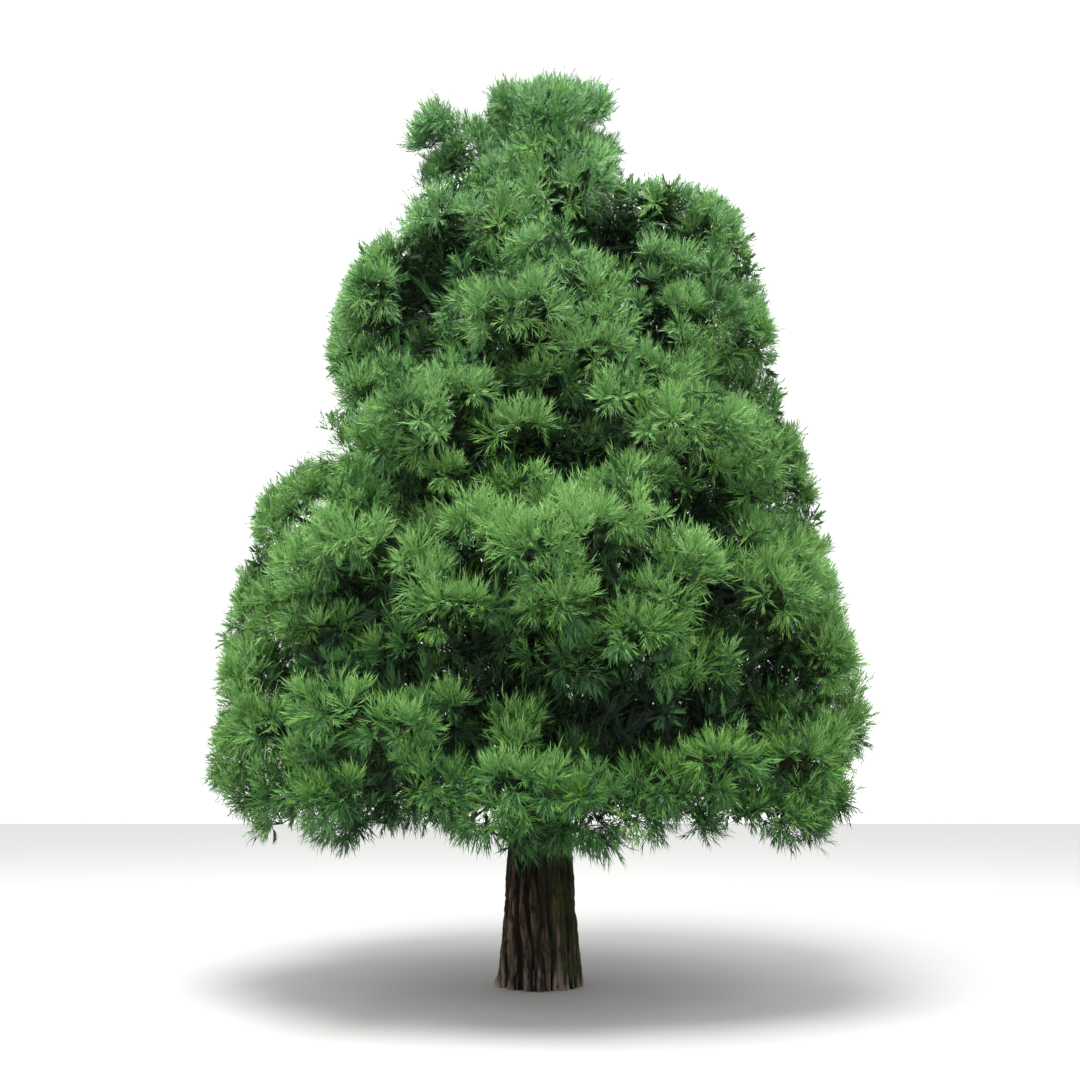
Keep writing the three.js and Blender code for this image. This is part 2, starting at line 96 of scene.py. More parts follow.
# Billows that stand out on the seen side: mass, azimuth, distance from the trunk, height, half width, half height,
# tone. The tone lightens or darkens a billow's leaves and is partly painted light and shade; the billows set deep
# inside have the lowest
BILLOWS = [
    ("crown_leader", -49, 0.48, 8.56, 0.28, 0.26, 0.20),
    ("crown_leader", 19, 0.46, 8.43, 0.33, 0.30, 0.30),
    ("crown_leader", 65, 0.70, 8.49, 0.30, 0.28, 0.10),
    ("high_front", 2, 1.02, 7.57, 0.37, 0.27, 0.10),
    ("crown_left", -73, 1.00, 8.21, 0.22, 0.16, -0.16),
    ("crown_left", -84, 1.20, 8.39, 0.18, 0.15, -0.06),
    ("crown_left", -66, 0.74, 8.25, 0.21, 0.17, -0.12),
    ("crown_left", -62, 0.80, 8.02, 0.22, 0.16, -0.20),
    ("crown_left", -80, 1.28, 7.84, 0.18, 0.12, -0.25),
    ("high_left", -43, 1.48, 6.77, 0.40, 0.31, 0.30),
    ("high_left", -18, 1.16, 6.70, 0.45, 0.36, 0.30),
    ("upper_left", -51, 1.75, 6.41, 0.30, 0.27, 0.00),
    ("high_right", 53, 1.43, 7.09, 0.37, 0.33, 0.10),
    ("high_right", 66, 1.72, 6.82, 0.43, 0.41, 0.10),
    ("high_front", 11, 1.05, 7.05, 0.50, 0.38, 0.25),
    ("upper_front", 1, 1.80, 6.04, 0.39, 0.24, 0.00),
    ("upper_right", 45, 1.48, 6.36, 0.36, 0.30, -0.10),
    ("upper_left", -51, 1.92, 6.01, 0.40, 0.35, 0.10),
    ("upper_left", -62, 1.81, 5.53, 0.37, 0.30, -0.10),
    ("middle_front_left", -41, 2.20, 4.90, 0.29, 0.21, -0.30),
    ("upper_front", -6, 1.80, 5.52, 0.53, 0.37, 0.45),
    ("upper_front", 17, 1.66, 5.27, 0.43, 0.36, 0.35),
    ("upper_front", 3, 1.62, 5.03, 0.38, 0.28, 0.10),
    ("upper_right", 50, 1.84, 5.70, 0.51, 0.43, 0.10),
    ("upper_right", 62, 2.10, 5.69, 0.26, 0.39, -0.05),
    ("middle_front_left", -27, 2.22, 4.53, 0.43, 0.37, 0.15),
    ("middle_front_left", -17, 2.10, 4.77, 0.34, 0.26, 0.10),
    ("middle_front_left", -4, 1.90, 4.50, 0.37, 0.26, 0.10),
    ("middle_front_right", 32, 2.26, 4.49, 0.54, 0.34, 0.30),
    ("middle_front_right", 18, 2.10, 4.72, 0.30, 0.24, 0.10),
    ("middle_front_right", 47, 2.31, 4.34, 0.38, 0.35, 0.05),
    ("middle_right", 84, 2.38, 4.65, 0.30, 0.52, -0.05),
    ("middle_front_right", 23, 2.02, 4.13, 0.31, 0.22, 0.00),
    ("lower_front_left", -34, 2.62, 3.52, 0.41, 0.31, 0.40),
    ("lower_front_left", -24, 2.38, 3.33, 0.38, 0.26, 0.20),
    ("lower_front", -10, 2.40, 3.60, 0.39, 0.24, 0.20),
    ("lower_front", 11, 2.58, 3.55, 0.41, 0.27, 0.25),
    ("lower_front", 24, 2.51, 3.27, 0.32, 0.32, 0.10),
    ("lower_right", 45, 2.58, 3.17, 0.42, 0.33, 0.20),
    ("lower_right", 41, 2.44, 3.57, 0.28, 0.23, 0.00),
    ("lower_left", -84, 2.70, 3.36, 0.34, 0.45, -0.10),
    ("lower_left", -80, 2.40, 4.00, 0.34, 0.34, -0.10),
    ("lower_front_left", -47, 2.39, 2.94, 0.43, 0.28, 0.05),
    ("lower_front", -14, 2.40, 3.00, 0.41, 0.30, 0.10),
    ("skirt_front_left", -29, 2.17, 2.74, 0.33, 0.23, -0.10),
    ("lower_front", 3, 2.48, 2.97, 0.35, 0.28, 0.10),
    ("lower_front", 18, 2.42, 2.82, 0.42, 0.31, 0.20),
    ("skirt_front_right", 33, 2.22, 2.62, 0.34, 0.27, 0.05),
    ("lower_right", 60, 2.72, 2.77, 0.36, 0.40, 0.05),
    ("skirt_right", 70, 2.74, 2.23, 0.30, 0.36, 0.00),
    ("skirt_left", -63, 2.55, 2.21, 0.41, 0.32, 0.10),
    ("skirt_left", -66, 2.55, 1.66, 0.38, 0.29, 0.00),
    ("skirt_front_left", -25, 2.52, 2.14, 0.42, 0.28, 0.10),
    ("skirt_front_left", -35, 2.60, 1.65, 0.37, 0.29, 0.00),
    ("skirt_front_left", -19, 2.36, 1.72, 0.33, 0.28, 0.00),
    ("skirt_front", -3, 2.40, 1.78, 0.38, 0.27, 0.25),
    ("skirt_front", 7, 2.46, 1.65, 0.31, 0.24, 0.15),
    ("skirt_front", -7, 2.29, 1.38, 0.34, 0.19, 0.00),
    ("skirt_front_right", 22, 2.22, 1.76, 0.35, 0.32, 0.05),
    ("skirt_front_right", 28, 2.46, 1.51, 0.25, 0.21, -0.10),
    ("skirt_right", 49, 2.62, 1.95, 0.40, 0.34, 0.10),
    ("skirt_right", 50, 2.47, 1.47, 0.35, 0.24, -0.05),
    ("skirt_right", 60, 2.72, 1.65, 0.26, 0.28, -0.05),
    ("skirt_front_left", -15, 2.23, 2.29, 0.31, 0.20, 0.00),
    ("middle_right", 84, 2.02, 5.42, 0.34, 0.34, 0.00),
    ("lower_back_right", 86, 2.32, 4.10, 0.34, 0.34, -0.05),
    ("lower_left", -80, 2.62, 2.84, 0.34, 0.34, -0.05),
    ("skirt_front", -14, 2.22, 1.50, 0.28, 0.20, 0.05),
    ("skirt_front", 18, 2.22, 1.50, 0.28, 0.20, 0.05),
    ("crown_left", -72, 1.00, 7.78, 0.22, 0.17, -0.25),
    ("lower_left", -88, 2.46, 4.32, 0.32, 0.30, -0.05),
    ("middle_left", -94, 2.18, 4.72, 0.32, 0.28, -0.10),
    ("middle_left", -100, 1.86, 4.52, 0.34, 0.32, -0.15),
    ("skirt_left", -56, 2.50, 1.44, 0.24, 0.15, 0.00),
    ("skirt_right", 58, 2.45, 1.42, 0.24, 0.14, 0.00),
    ("lower_right", 47, 2.20, 3.78, 0.30, 0.26, -0.10),
    ("middle_front_left", -20, 2.12, 4.12, 0.25, 0.20, 0.00),
    ("middle_front_left", -5, 2.04, 3.98, 0.29, 0.23, -0.10),
    ("middle_front_right", 15, 2.14, 3.98, 0.28, 0.21, 0.05),
    ("high_back", 148, 0.66, 7.66, 0.36, 0.34, 0.00),
    ("high_back", 205, 0.68, 7.68, 0.36, 0.34, 0.00),
    ("high_back", 250, 0.58, 7.76, 0.31, 0.31, 0.00),
    ("crown_leader", 112, 0.42, 7.92, 0.32, 0.34, 0.00),
    ("crown_leader", 176, 0.42, 8.00, 0.32, 0.34, 0.00),
    ("crown_leader", 236, 0.36, 8.04, 0.28, 0.32, 0.00),
    ("crown_leader", 160, 0.20, 8.62, 0.30, 0.28, 0.10),
    ("crown_left", -62, 0.54, 7.98, 0.24, 0.22, -0.15),
    ("crown_left", -58, 0.58, 7.74, 0.22, 0.17, -0.20),
    ("crown_left", -80, 1.20, 7.40, 0.17, 0.10, -0.15),
    ("upper_front", -8, 1.60, 5.44, 0.30, 0.28, 0.05),
    ("high_front", 13, 0.84, 6.98, 0.28, 0.26, -0.05),
    ("high_right", 62, 0.86, 7.00, 0.32, 0.32, -0.30),
    ("high_left", -61, 1.10, 6.55, 0.30, 0.28, -0.30),
    ("skirt_right", 42, 2.34, 1.52, 0.30, 0.22, -0.05),
    ("skirt_left", -52, 2.48, 1.78, 0.30, 0.27, -0.05),
    ("lower_left", -73, 2.30, 2.72, 0.32, 0.30, -0.10),
    ("skirt_left", -75, 2.44, 2.28, 0.30, 0.28, -0.05),
    ("lower_right", 56, 1.94, 2.86, 0.36, 0.36, -0.30),
    ("crown_left", -68, 0.80, 7.88, 0.22, 0.18, -0.22),
    ("high_left", -58, 1.20, 6.80, 0.30, 0.28, -0.25),
    ("upper_left", -56, 1.28, 6.14, 0.33, 0.31, -0.30),
    ("upper_right", 44, 1.12, 6.26, 0.33, 0.33, -0.30),
    ("skirt_front", 18, 1.62, 2.36, 0.35, 0.33, -0.35),
    ("lower_front_left", -38, 1.84, 2.76, 0.34, 0.33, -0.30),
    ("lower_front", -17, 1.60, 2.90, 0.33, 0.32, -0.30),
    ("skirt_left", -86, 2.58, 2.50, 0.33, 0.31, -0.05),
    ("lower_left", -72, 2.10, 4.34, 0.32, 0.30, -0.10),
    ("lower_left", -70, 2.16, 3.70, 0.32, 0.30, -0.10),
    ("skirt_front", -12, 1.60, 2.44, 0.35, 0.33, -0.35),
    ("lower_right", 42, 1.58, 3.86, 0.36, 0.34, -0.35),
    ("skirt_front_right", 36, 1.66, 2.46, 0.36, 0.34, -0.35),
    ("skirt_front_right", 28, 1.62, 2.28, 0.34, 0.32, -0.35),
    ("lower_right", 55, 1.90, 3.30, 0.34, 0.34, -0.30),
    ("skirt_front", 3, 1.56, 2.40, 0.34, 0.32, -0.35),
    ("skirt_right", 62, 1.70, 2.30, 0.34, 0.33, -0.30),
    ("skirt_right", 86, 1.72, 2.34, 0.34, 0.33, -0.30),
    ("skirt_back_right", 110, 1.70, 2.30, 0.34, 0.33, -0.30),
    ("skirt_back_right", 133, 1.68, 2.36, 0.34, 0.33, -0.30),
    ("skirt_back", 157, 1.70, 2.30, 0.34, 0.33, -0.30),
    ("skirt_back", 180, 1.66, 2.36, 0.34, 0.33, -0.30),
    ("skirt_back", 203, 1.68, 2.30, 0.34, 0.33, -0.30),
    ("skirt_back_left", 227, 1.70, 2.36, 0.34, 0.33, -0.30),
    ("skirt_back_left", 250, 1.68, 2.30, 0.34, 0.33, -0.30),
    ("skirt_left", -86, 1.70, 2.36, 0.34, 0.33, -0.30),
    ("skirt_left", -60, 1.72, 2.30, 0.34, 0.33, -0.30),
    ("high_back", 222, 0.34, 7.88, 0.30, 0.29, -0.05),
    ("high_back", 172, 0.34, 7.84, 0.30, 0.29, -0.05),
    ("crown_leader", 206, 0.34, 8.34, 0.29, 0.29, 0.00),
    ("crown_leader", 132, 0.34, 8.28, 0.29, 0.29, 0.00),
    ("lower_back_right", 90, 2.25, 2.95, 0.36, 0.34, -0.25),
    ("lower_right", 78, 2.05, 3.05, 0.35, 0.34, -0.30),
    ("skirt_back_right", 100, 2.10, 2.72, 0.35, 0.34, -0.30),
    ("lower_left", -92, 2.42, 2.76, 0.30, 0.30, -0.10),
    ("lower_left", -88, 2.10, 3.10, 0.35, 0.34, -0.30),
    ("lower_back", 150, 1.60, 3.05, 0.35, 0.34, -0.30),
    ("lower_back", 180, 1.55, 3.10, 0.35, 0.34, -0.30),
    ("lower_back_left", 210, 1.60, 3.05, 0.35, 0.34, -0.30),
    ("lower_back", 165, 1.40, 3.85, 0.35, 0.34, -0.30),
    ("lower_back_left", 200, 1.40, 3.85, 0.35, 0.34, -0.30),
    ("middle_back", 174, 1.20, 4.62, 0.35, 0.34, -0.30),
    ("skirt_back_right", 122, 2.16, 1.84, 0.34, 0.31, -0.10),
    ("skirt_back", 147, 2.12, 1.80, 0.34, 0.31, -0.10),
    ("skirt_back", 171, 2.16, 1.84, 0.34, 0.31, -0.10),
    ("skirt_back", 195, 2.12, 1.80, 0.34, 0.31, -0.10),
    ("skirt_back_left", 219, 2.16, 1.84, 0.34, 0.31, -0.10),
    ("skirt_back_left", 243, 2.12, 1.80, 0.34, 0.31, -0.10),
]

# Outline of the crown seen from the front, through the lens, on the upright plane of the trunk: (x, z)
EYE, DISTANCE, LENS_PX = 1.6, 10.18, 1092.0
OUTLINE = np.array([
    (-2.57, 0.88), (-2.70, 1.31), (-2.90, 1.53), (-3.06, 1.75), (-3.16, 1.97), (-3.19, 2.20), (-3.15, 2.43), (-3.11, 2.66), (-3.09, 2.89), (-3.04, 3.13),
    (-2.98, 3.37), (-2.92, 3.61), (-2.86, 3.85), (-2.83, 4.09), (-2.83, 4.34), (-2.77, 4.57), (-2.66, 4.70), (-2.59, 4.95), (-2.48, 5.10), (-2.34, 4.85),
    (-2.12, 4.79), (-1.85, 4.87), (-1.76, 5.03), (-1.94, 5.10), (-2.14, 5.32), (-2.12, 5.52), (-2.18, 5.68), (-2.22, 5.89), (-2.18, 6.16), (-2.11, 6.43),
    (-2.05, 6.71), (-1.96, 6.98), (-1.82, 7.15), (-1.76, 7.25), (-1.44, 7.37), (-1.40, 7.54), (-1.35, 7.66), (-1.45, 7.82), (-1.38, 7.92), (-1.22, 8.02),
    (-1.35, 8.19), (-1.44, 8.39), (-1.32, 8.63), (-1.16, 8.78), (-0.86, 8.72), (-0.74, 8.59), (-0.64, 8.66), (-0.59, 8.85), (-0.47, 9.00), (-0.24, 9.09),
    (0.11, 9.09), (0.37, 8.97), (0.61, 8.97), (0.79, 9.03), (0.79, 8.84), (0.73, 8.63), (0.66, 8.45), (0.87, 8.33), (0.96, 8.20), (0.93, 8.06),
    (1.07, 7.98), (1.61, 7.93), (1.77, 7.86), (1.94, 7.72), (2.12, 7.55), (2.23, 7.26), (2.32, 6.98), (2.36, 6.71), (2.40, 6.43), (2.43, 6.16),
    (2.47, 5.89), (2.51, 5.63), (2.53, 5.36), (2.58, 5.10), (2.63, 4.85), (2.70, 4.59), (2.80, 4.34), (2.86, 4.09), (2.87, 3.85), (2.90, 3.61),
    (2.93, 3.37), (2.98, 3.13), (3.04, 2.89), (3.07, 2.66), (3.10, 2.43), (3.08, 2.20), (3.01, 2.02), (2.85, 1.88), (2.80, 1.66), (2.80, 1.49),
    (2.70, 1.27), (2.59, 0.88),
])

# Dark hollows between billows: azimuth, distance from the trunk, height, radius
HOLLOWS = [
    (3, 1.95, 4.24, 0.32),
    (12, 1.45, 6.42, 0.28),
    (28, 1.46, 6.28, 0.26),
    (-10, 2.32, 2.47, 0.28),
    (6, 2.36, 2.18, 0.25),
    (17, 2.38, 2.20, 0.28),
    (30, 2.30, 2.16, 0.28),
    (-41, 2.50, 2.58, 0.30),
    (38, 2.30, 3.84, 0.28),
    (36, 2.44, 3.42, 0.16),
    (33, 2.50, 3.00, 0.24),
    (44, 2.60, 2.48, 0.30),
    (-60, 1.75, 5.80, 0.16),
    (-48, 1.62, 6.06, 0.28),
    (-58, 0.92, 7.34, 0.16),
    (-25, 2.20, 3.94, 0.16),
    (-11, 1.95, 4.30, 0.16),
]


def unit(v):
    return v / np.maximum(np.linalg.norm(v, axis=-1, keepdims=True), 1e-9)


def away(az):
    a = np.radians(az)
    return np.stack([np.sin(a), -np.cos(a), np.zeros_like(a)], -1)


def stem_radius(z):
    return np.interp(z, TRUNK_TAPER[:, 0], TRUNK_TAPER[:, 1])


def stem_centre(z):
    t = np.clip(np.asarray(z, float) / TRUNK_TOP, 0, 1)
    return np.stack([TRUNK_SWAY * np.sin(np.pi * t * 1.6) * np.sqrt(t), TRUNK_SWAY * 0.7 * np.sin(np.pi * t * 2.3) * np.sqrt(t), np.asarray(z, float)], -1)


def lattice_noise(u, v, cells, seed, rows=1024):
    """Smooth noise on a cylinder: u is the share of a turn, v counts rows of cells."""
    table = np.random.default_rng(seed).random((rows, cells))
    x, y = (u % 1.0) * cells, v % rows
    x0, y0 = np.floor(x).astype(int), np.floor(y).astype(int)
    fx, fy = x - x0, y - y0
    fx, fy = fx * fx * (3 - 2 * fx), fy * fy * (3 - 2 * fy)
    x0, y0 = x0 % cells, y0 % rows
    x1, y1 = (x0 + 1) % cells, (y0 + 1) % rows
    top = table[y0, x0] * (1 - fx) + table[y0, x1] * fx
    low = table[y1, x0] * (1 - fx) + table[y1, x1] * fx
    return top * (1 - fy) + low * fy


# ------------------------------------------------------------------ materials
def principled(name, base=(0.5, 0.5, 0.5), roughness=0.6, specular=0.3, sheen=0.0):
    mat = bpy.data.materials.new(name)
    mat.use_nodes = True
    b = mat.node_tree.nodes["Principled BSDF"]
    b.inputs["Base Color"].default_value = (*base, 1)
    b.inputs["Roughness"].default_value = roughness
    b.inputs["Specular IOR Level"].default_value = specular
    b.inputs["Sheen Weight"].default_value = sheen
    return mat, b


def bark_material(name, dark, mid, ridge, grey, moss, fibre, bump):
    mat, b = principled(name, roughness=0.92, specular=0.15)
    t = mat.node_tree
    new, link = t.nodes.new, t.links.new
    coord = new("ShaderNodeTexCoord")
    stretch = new("ShaderNodeMapping")
    stretch.inputs["Scale"].default_value = (fibre, fibre, fibre * 0.07)
    link(coord.outputs["Object"], stretch.inputs["Vector"])
    threads = new("ShaderNodeTexNoise")
    threads.inputs["Scale"].default_value = 1.0
    threads.inputs["Detail"].default_value = 7.0
    threads.inputs["Roughness"].default_value = 0.62
    link(stretch.outputs["Vector"], threads.inputs["Vector"])
    blotch = new("ShaderNodeTexNoise")
    blotch.inputs["Scale"].default_value = 5.0
    blotch.inputs["Detail"].default_value = 4.0
    link(coord.outputs["Object"], blotch.inputs["Vector"])
    furrow = new("ShaderNodeAttribute")
    furrow.attribute_name = "furrow"
    # height in the relief, roughened by the fibres, drives the colour from the furrow's floor to the ridge's crest; the
    # near-black floors are partly the bark's own colour and partly painted shade in the furrows
    drawn = new("ShaderNodeMapRange")
    drawn.inputs["From Min"].default_value = 0.34
    drawn.inputs["From Max"].default_value = 0.66
    drawn.inputs["To Min"].default_value = -0.20
    drawn.inputs["To Max"].default_value = 0.38
    link(threads.outputs["Fac"], drawn.inputs["Value"])
    roughen = new("ShaderNodeMath")
    roughen.operation = "MULTIPLY_ADD"
    roughen.inputs[1].default_value = 0.72
    link(furrow.outputs["Fac"], roughen.inputs[0])
    link(drawn.outputs["Result"], roughen.inputs[2])
    ramp = new("ShaderNodeValToRGB")
    link(roughen.outputs[0], ramp.inputs["Fac"])
    e = ramp.color_ramp.elements
    e[0].position, e[0].color = 0.16, (*dark, 1)
    e[1].position, e[1].color = 0.90, (*ridge, 1)
    m = e.new(0.52)
    m.color = (*mid, 1)
    # long dark stains at random, and painted shade under the crown: the attribute adds to the stains higher up the
    # trunk, so the bark is drawn darker there
    tall = new("ShaderNodeMapping")
    tall.inputs["Scale"].default_value = (fibre * 0.30, fibre * 0.30, fibre * 0.022)
    link(coord.outputs["Object"], tall.inputs["Vector"])
    stains = new("ShaderNodeTexNoise")
    stains.inputs["Scale"].default_value = 1.0
    stains.inputs["Detail"].default_value = 3.0
    link(tall.outputs["Vector"], stains.inputs["Vector"])
    painted_shade = new("ShaderNodeAttribute")
    painted_shade.attribute_name = "painted_shade"
    stains_and_shade = new("ShaderNodeMath")
    stains_and_shade.operation = "MULTIPLY_ADD"
    stains_and_shade.inputs[1].default_value = 0.16
    link(painted_shade.outputs["Fac"], stains_and_shade.inputs[0])
    link(stains.outputs["Fac"], stains_and_shade.inputs[2])
    stain_and_shade_edge = new("ShaderNodeMapRange")
    stain_and_shade_edge.inputs["From Min"].default_value = 0.44
    stain_and_shade_edge.inputs["From Max"].default_value = 0.64
    stain_and_shade_edge.inputs["To Max"].default_value = 0.88
    link(stains_and_shade.outputs[0], stain_and_shade_edge.inputs["Value"])
    darker = new("ShaderNodeMix")
    darker.data_type = "RGBA"
    link(stain_and_shade_edge.outputs["Result"], darker.inputs["Factor"])
    link(ramp.outputs["Color"], darker.inputs["A"])
    darker.inputs["B"].default_value = (*[0.4 * x + 0.003 for x in mid], 1)
    # weathered grey where the attribute says, such as the foot
    foot = new("ShaderNodeAttribute")
    foot.attribute_name = "weather"
    foot_mask = new("ShaderNodeMath")
    foot_mask.operation = "MULTIPLY"
    worn = new("ShaderNodeMapRange")
    worn.inputs["From Min"].default_value = 0.30
    worn.inputs["From Max"].default_value = 0.85
    link(roughen.outputs[0], worn.inputs["Value"])
    link(foot.outputs["Fac"], foot_mask.inputs[0])
    link(worn.outputs["Result"], foot_mask.inputs[1])
    paler = new("ShaderNodeMix")
    paler.data_type = "RGBA"
    link(foot_mask.outputs[0], paler.inputs["Factor"])
    link(darker.outputs["Result"], paler.inputs["A"])
    paler.inputs["B"].default_value = (*grey, 1)
    mossy = new("ShaderNodeAttribute")
    mossy.attribute_name = "moss"
    moss_edge = new("ShaderNodeMapRange")
    moss_edge.inputs["From Min"].default_value = 0.36
    moss_edge.inputs["From Max"].default_value = 0.62
    link(blotch.outputs["Fac"], moss_edge.inputs["Value"])
    moss_mask = new("ShaderNodeMath")
    moss_mask.operation = "MULTIPLY"
    link(mossy.outputs["Fac"], moss_mask.inputs[0])
    link(moss_edge.outputs["Result"], moss_mask.inputs[1])
    green = new("ShaderNodeMix")
    green.data_type = "RGBA"
    link(moss_mask.outputs[0], green.inputs["Factor"])
    link(paler.outputs["Result"], green.inputs["A"])
    green.inputs["B"].default_value = (*moss, 1)
    link(green.outputs["Result"], b.inputs["Base Color"])
    rough = new("ShaderNodeMapRange")
    rough.inputs["To Min"].default_value = 0.98
    rough.inputs["To Max"].default_value = 0.78
    link(threads.outputs["Fac"], rough.inputs["Value"])
    link(rough.outputs["Result"], b.inputs["Roughness"])
    bumps = new("ShaderNodeBump")
    bumps.inputs["Strength"].default_value = 0.8
    bumps.inputs["Distance"].default_value = bump
    link(threads.outputs["Fac"], bumps.inputs["Height"])
    link(bumps.outputs["Normal"], b.inputs["Normal"])
    return mat


TRUNK_BARK = bark_material("trunk_bark", (0.0030, 0.0027, 0.0022), (0.015, 0.011, 0.0080), (0.165, 0.097, 0.062), (0.330, 0.268, 0.205), (0.032, 0.046, 0.010), 34.0, 0.020)
BOUGH_BARK = bark_material("bough_bark", (0.007, 0.005, 0.004), (0.034, 0.021, 0.014), (0.095, 0.056, 0.036), (0.14, 0.11, 0.08), (0.040, 0.050, 0.020), 90.0, 0.004)
BRANCH_BARK = bark_material("branch_bark", (0.012, 0.008, 0.006), (0.045, 0.027, 0.017), (0.095, 0.058, 0.036), (0.10, 0.09, 0.05), (0.045, 0.060, 0.022), 140.0, 0.002)
TWIG_BARK, _ = principled("twig_bark", (0.026, 0.038, 0.016), 0.85, 0.2)

# Scale leaves, dealt out by spray: from the newest tips in the light to the old growth inside. The greens are in part
# the leaves' own colour and in part lit and shaded copies of one green, painted light and shade; the last and darkest
# is painted shade for the leaves seen in the hollows
LEAF_TONES = [
    ("leaf_inner", (0.025, 0.060, 0.025), 0.90),
    ("leaf_dark", (0.042, 0.118, 0.037), 0.82),
    ("leaf_deep", (0.056, 0.156, 0.043), 0.74),
    ("leaf_mid", (0.065, 0.174, 0.043), 0.70),
    ("leaf_green", (0.091, 0.230, 0.054), 0.68),
    ("leaf_light", (0.130, 0.294, 0.070), 0.66),
    ("leaf_tip", (0.178, 0.358, 0.104), 0.64),
    ("leaf_bluish", (0.072, 0.176, 0.096), 0.66),
    ("leaf_fresh", (0.122, 0.278, 0.044), 0.66),
    ("leaf_pale", (0.142, 0.292, 0.136), 0.66),
    ("leaf_hollow_shade", (0.018, 0.030, 0.019), 0.92),
]
LEAVES = [principled(n, c, r, 0.16, 0.0)[0] for n, c, r in LEAF_TONES]
BLUISH, FRESH, PALE, UNLIT = 7, 8, 9, 10


# ------------------------------------------------------------------ meshes
def piece(name, verts, faces, mats, index=None, smooth=False, values=None):
    me = bpy.data.meshes.new(name)
    n, k = faces.shape
    me.vertices.add(len(verts))
    me.vertices.foreach_set("co", np.ascontiguousarray(verts, np.float32).ravel())
    me.loops.add(n * k)
    me.loops.foreach_set("vertex_index", np.ascontiguousarray(faces, np.int32).ravel())
    me.polygons.add(n)
    me.polygons.foreach_set("loop_start", np.arange(0, n * k, k, dtype=np.int32))
    for m in mats:
        me.materials.append(m)
    if index is not None:
        me.polygons.foreach_set("material_index", np.ascontiguousarray(index, np.int32))
    me.polygons.foreach_set("use_smooth", np.full(n, smooth, bool))
    for key, v in (values or {}).items():
        me.attributes.new(key, "FLOAT", "POINT").data.foreach_set("value", np.ascontiguousarray(v, np.float32))
    me.update(calc_edges=True)
    ob = bpy.data.objects.new(name, me)
    bpy.context.scene.collection.objects.link(ob)
    return ob


def tubes(paths, radii, sides, rings_first=False):
    """Tapering limbs: paths (N, P, 3), radii (N, P). Returns vertices (N, P * sides, 3) and triangles."""
    n, p, _ = paths.shape
    t = np.gradient(paths, axis=1)
    t = unit(t)
    mean = unit(t.mean(1))
    ref = np.where(np.abs(mean[:, 2:3]) < 0.75, UP, np.array([1.0, 0.0, 0.0]))
    e1 = unit(np.cross(t, ref[:, None]))
    e2 = np.cross(t, e1)
    a = np.arange(sides) / sides * 2 * np.pi
    ring = e1[:, :, None] * np.cos(a)[None, None, :, None] + e2[:, :, None] * np.sin(a)[None, None, :, None]
    verts = paths[:, :, None] + ring * radii[:, :, None, None]
    i = np.arange(p - 1)[:, None] * sides
    j = np.arange(sides)[None]
    k = (j + 1) % sides
    quads = np.stack([i + j, i + k, i + sides + k, i + sides + j], -1).reshape(-1, 4)
    tris = np.concatenate([quads[:, [0, 1, 2]], quads[:, [0, 2, 3]]])
    faces = (tris[None] + (np.arange(n) * p * sides)[:, None, None]).reshape(-1, 3)
    return verts.reshape(n, p * sides, 3), faces


def hermite(a, da, b, db, steps):
    """Curves (N, steps, 3) from a, leaving along da, to b, arriving along db."""
    s = np.linspace(0, 1, steps)[None, :, None]
    a, da, b, db = (x[:, None] for x in (a, da, b, db))
    return (2 * s**3 - 3 * s**2 + 1) * a + (s**3 - 2 * s**2 + s) * da + (-2 * s**3 + 3 * s**2) * b + (s**3 - s**2) * db


def join(parts):
    """[(verts, faces), ...] as one."""
    verts = np.concatenate([v.reshape(-1, 3) for v, _ in parts])
    faces, base = [], 0
    for v, f in parts:
        faces.append(f + base)
        base += v.reshape(-1, 3).shape[0]
    return verts, np.concatenate(faces)


# ------------------------------------------------------------------ trunk: fluted foot, furrowed fibrous bark
RIB_EDGES = np.cumsum(np.random.default_rng(418).uniform(0.35, 1.7, 17))
RIB_EDGES = np.concatenate([[0.0], RIB_EDGES / RIB_EDGES[-1]])


def soft_step(x):
    x = np.clip(x, 0, 1)
    return x * x * (3 - 2 * x)


def bark_relief(u, z, foot):
    """Height from 0 in a furrow's floor to 1 on a ridge's crest, and the relief in metres."""
    drift = 0.055 * (lattice_noise(u, z * 0.9, 5, 11) - 0.5) + 0.026 * (lattice_noise(u, z * 3.1, 17, 12) - 0.5)
    place = np.interp((u + drift) % 1.0, RIB_EDGES, np.arange(len(RIB_EDGES)))
    t = place % 1.0
    gap = 0.12 + 0.40 * lattice_noise(u, z * 1.7, 15, 17) ** 1.3 + 0.06 * foot
    rib = soft_step(t / gap) * soft_step((1 - t) / gap)
    shift = u + drift + 0.022 * (lattice_noise(u, z * 4.6, 23, 13) - 0.5)
    strips = 0.6 * lattice_noise(shift, z * 4.2, 58, 14) + 0.4 * lattice_noise(shift, z * 9.0, 96, 24)
    fibres = lattice_noise(shift, z * 19, 144, 15)
    crest = 0.42 + 0.58 * lattice_noise(u, z * 1.9, 19, 16)
    split = soft_step(np.abs(strips - 0.5) / 0.13)
    height = rib * crest * (0.42 + 0.34 * split) + 0.32 * strips + 0.18 * fibres
    height = np.clip(height / 0.96 - 0.06, 0, 1)
    return height, height * (0.050 + 0.034 * foot)


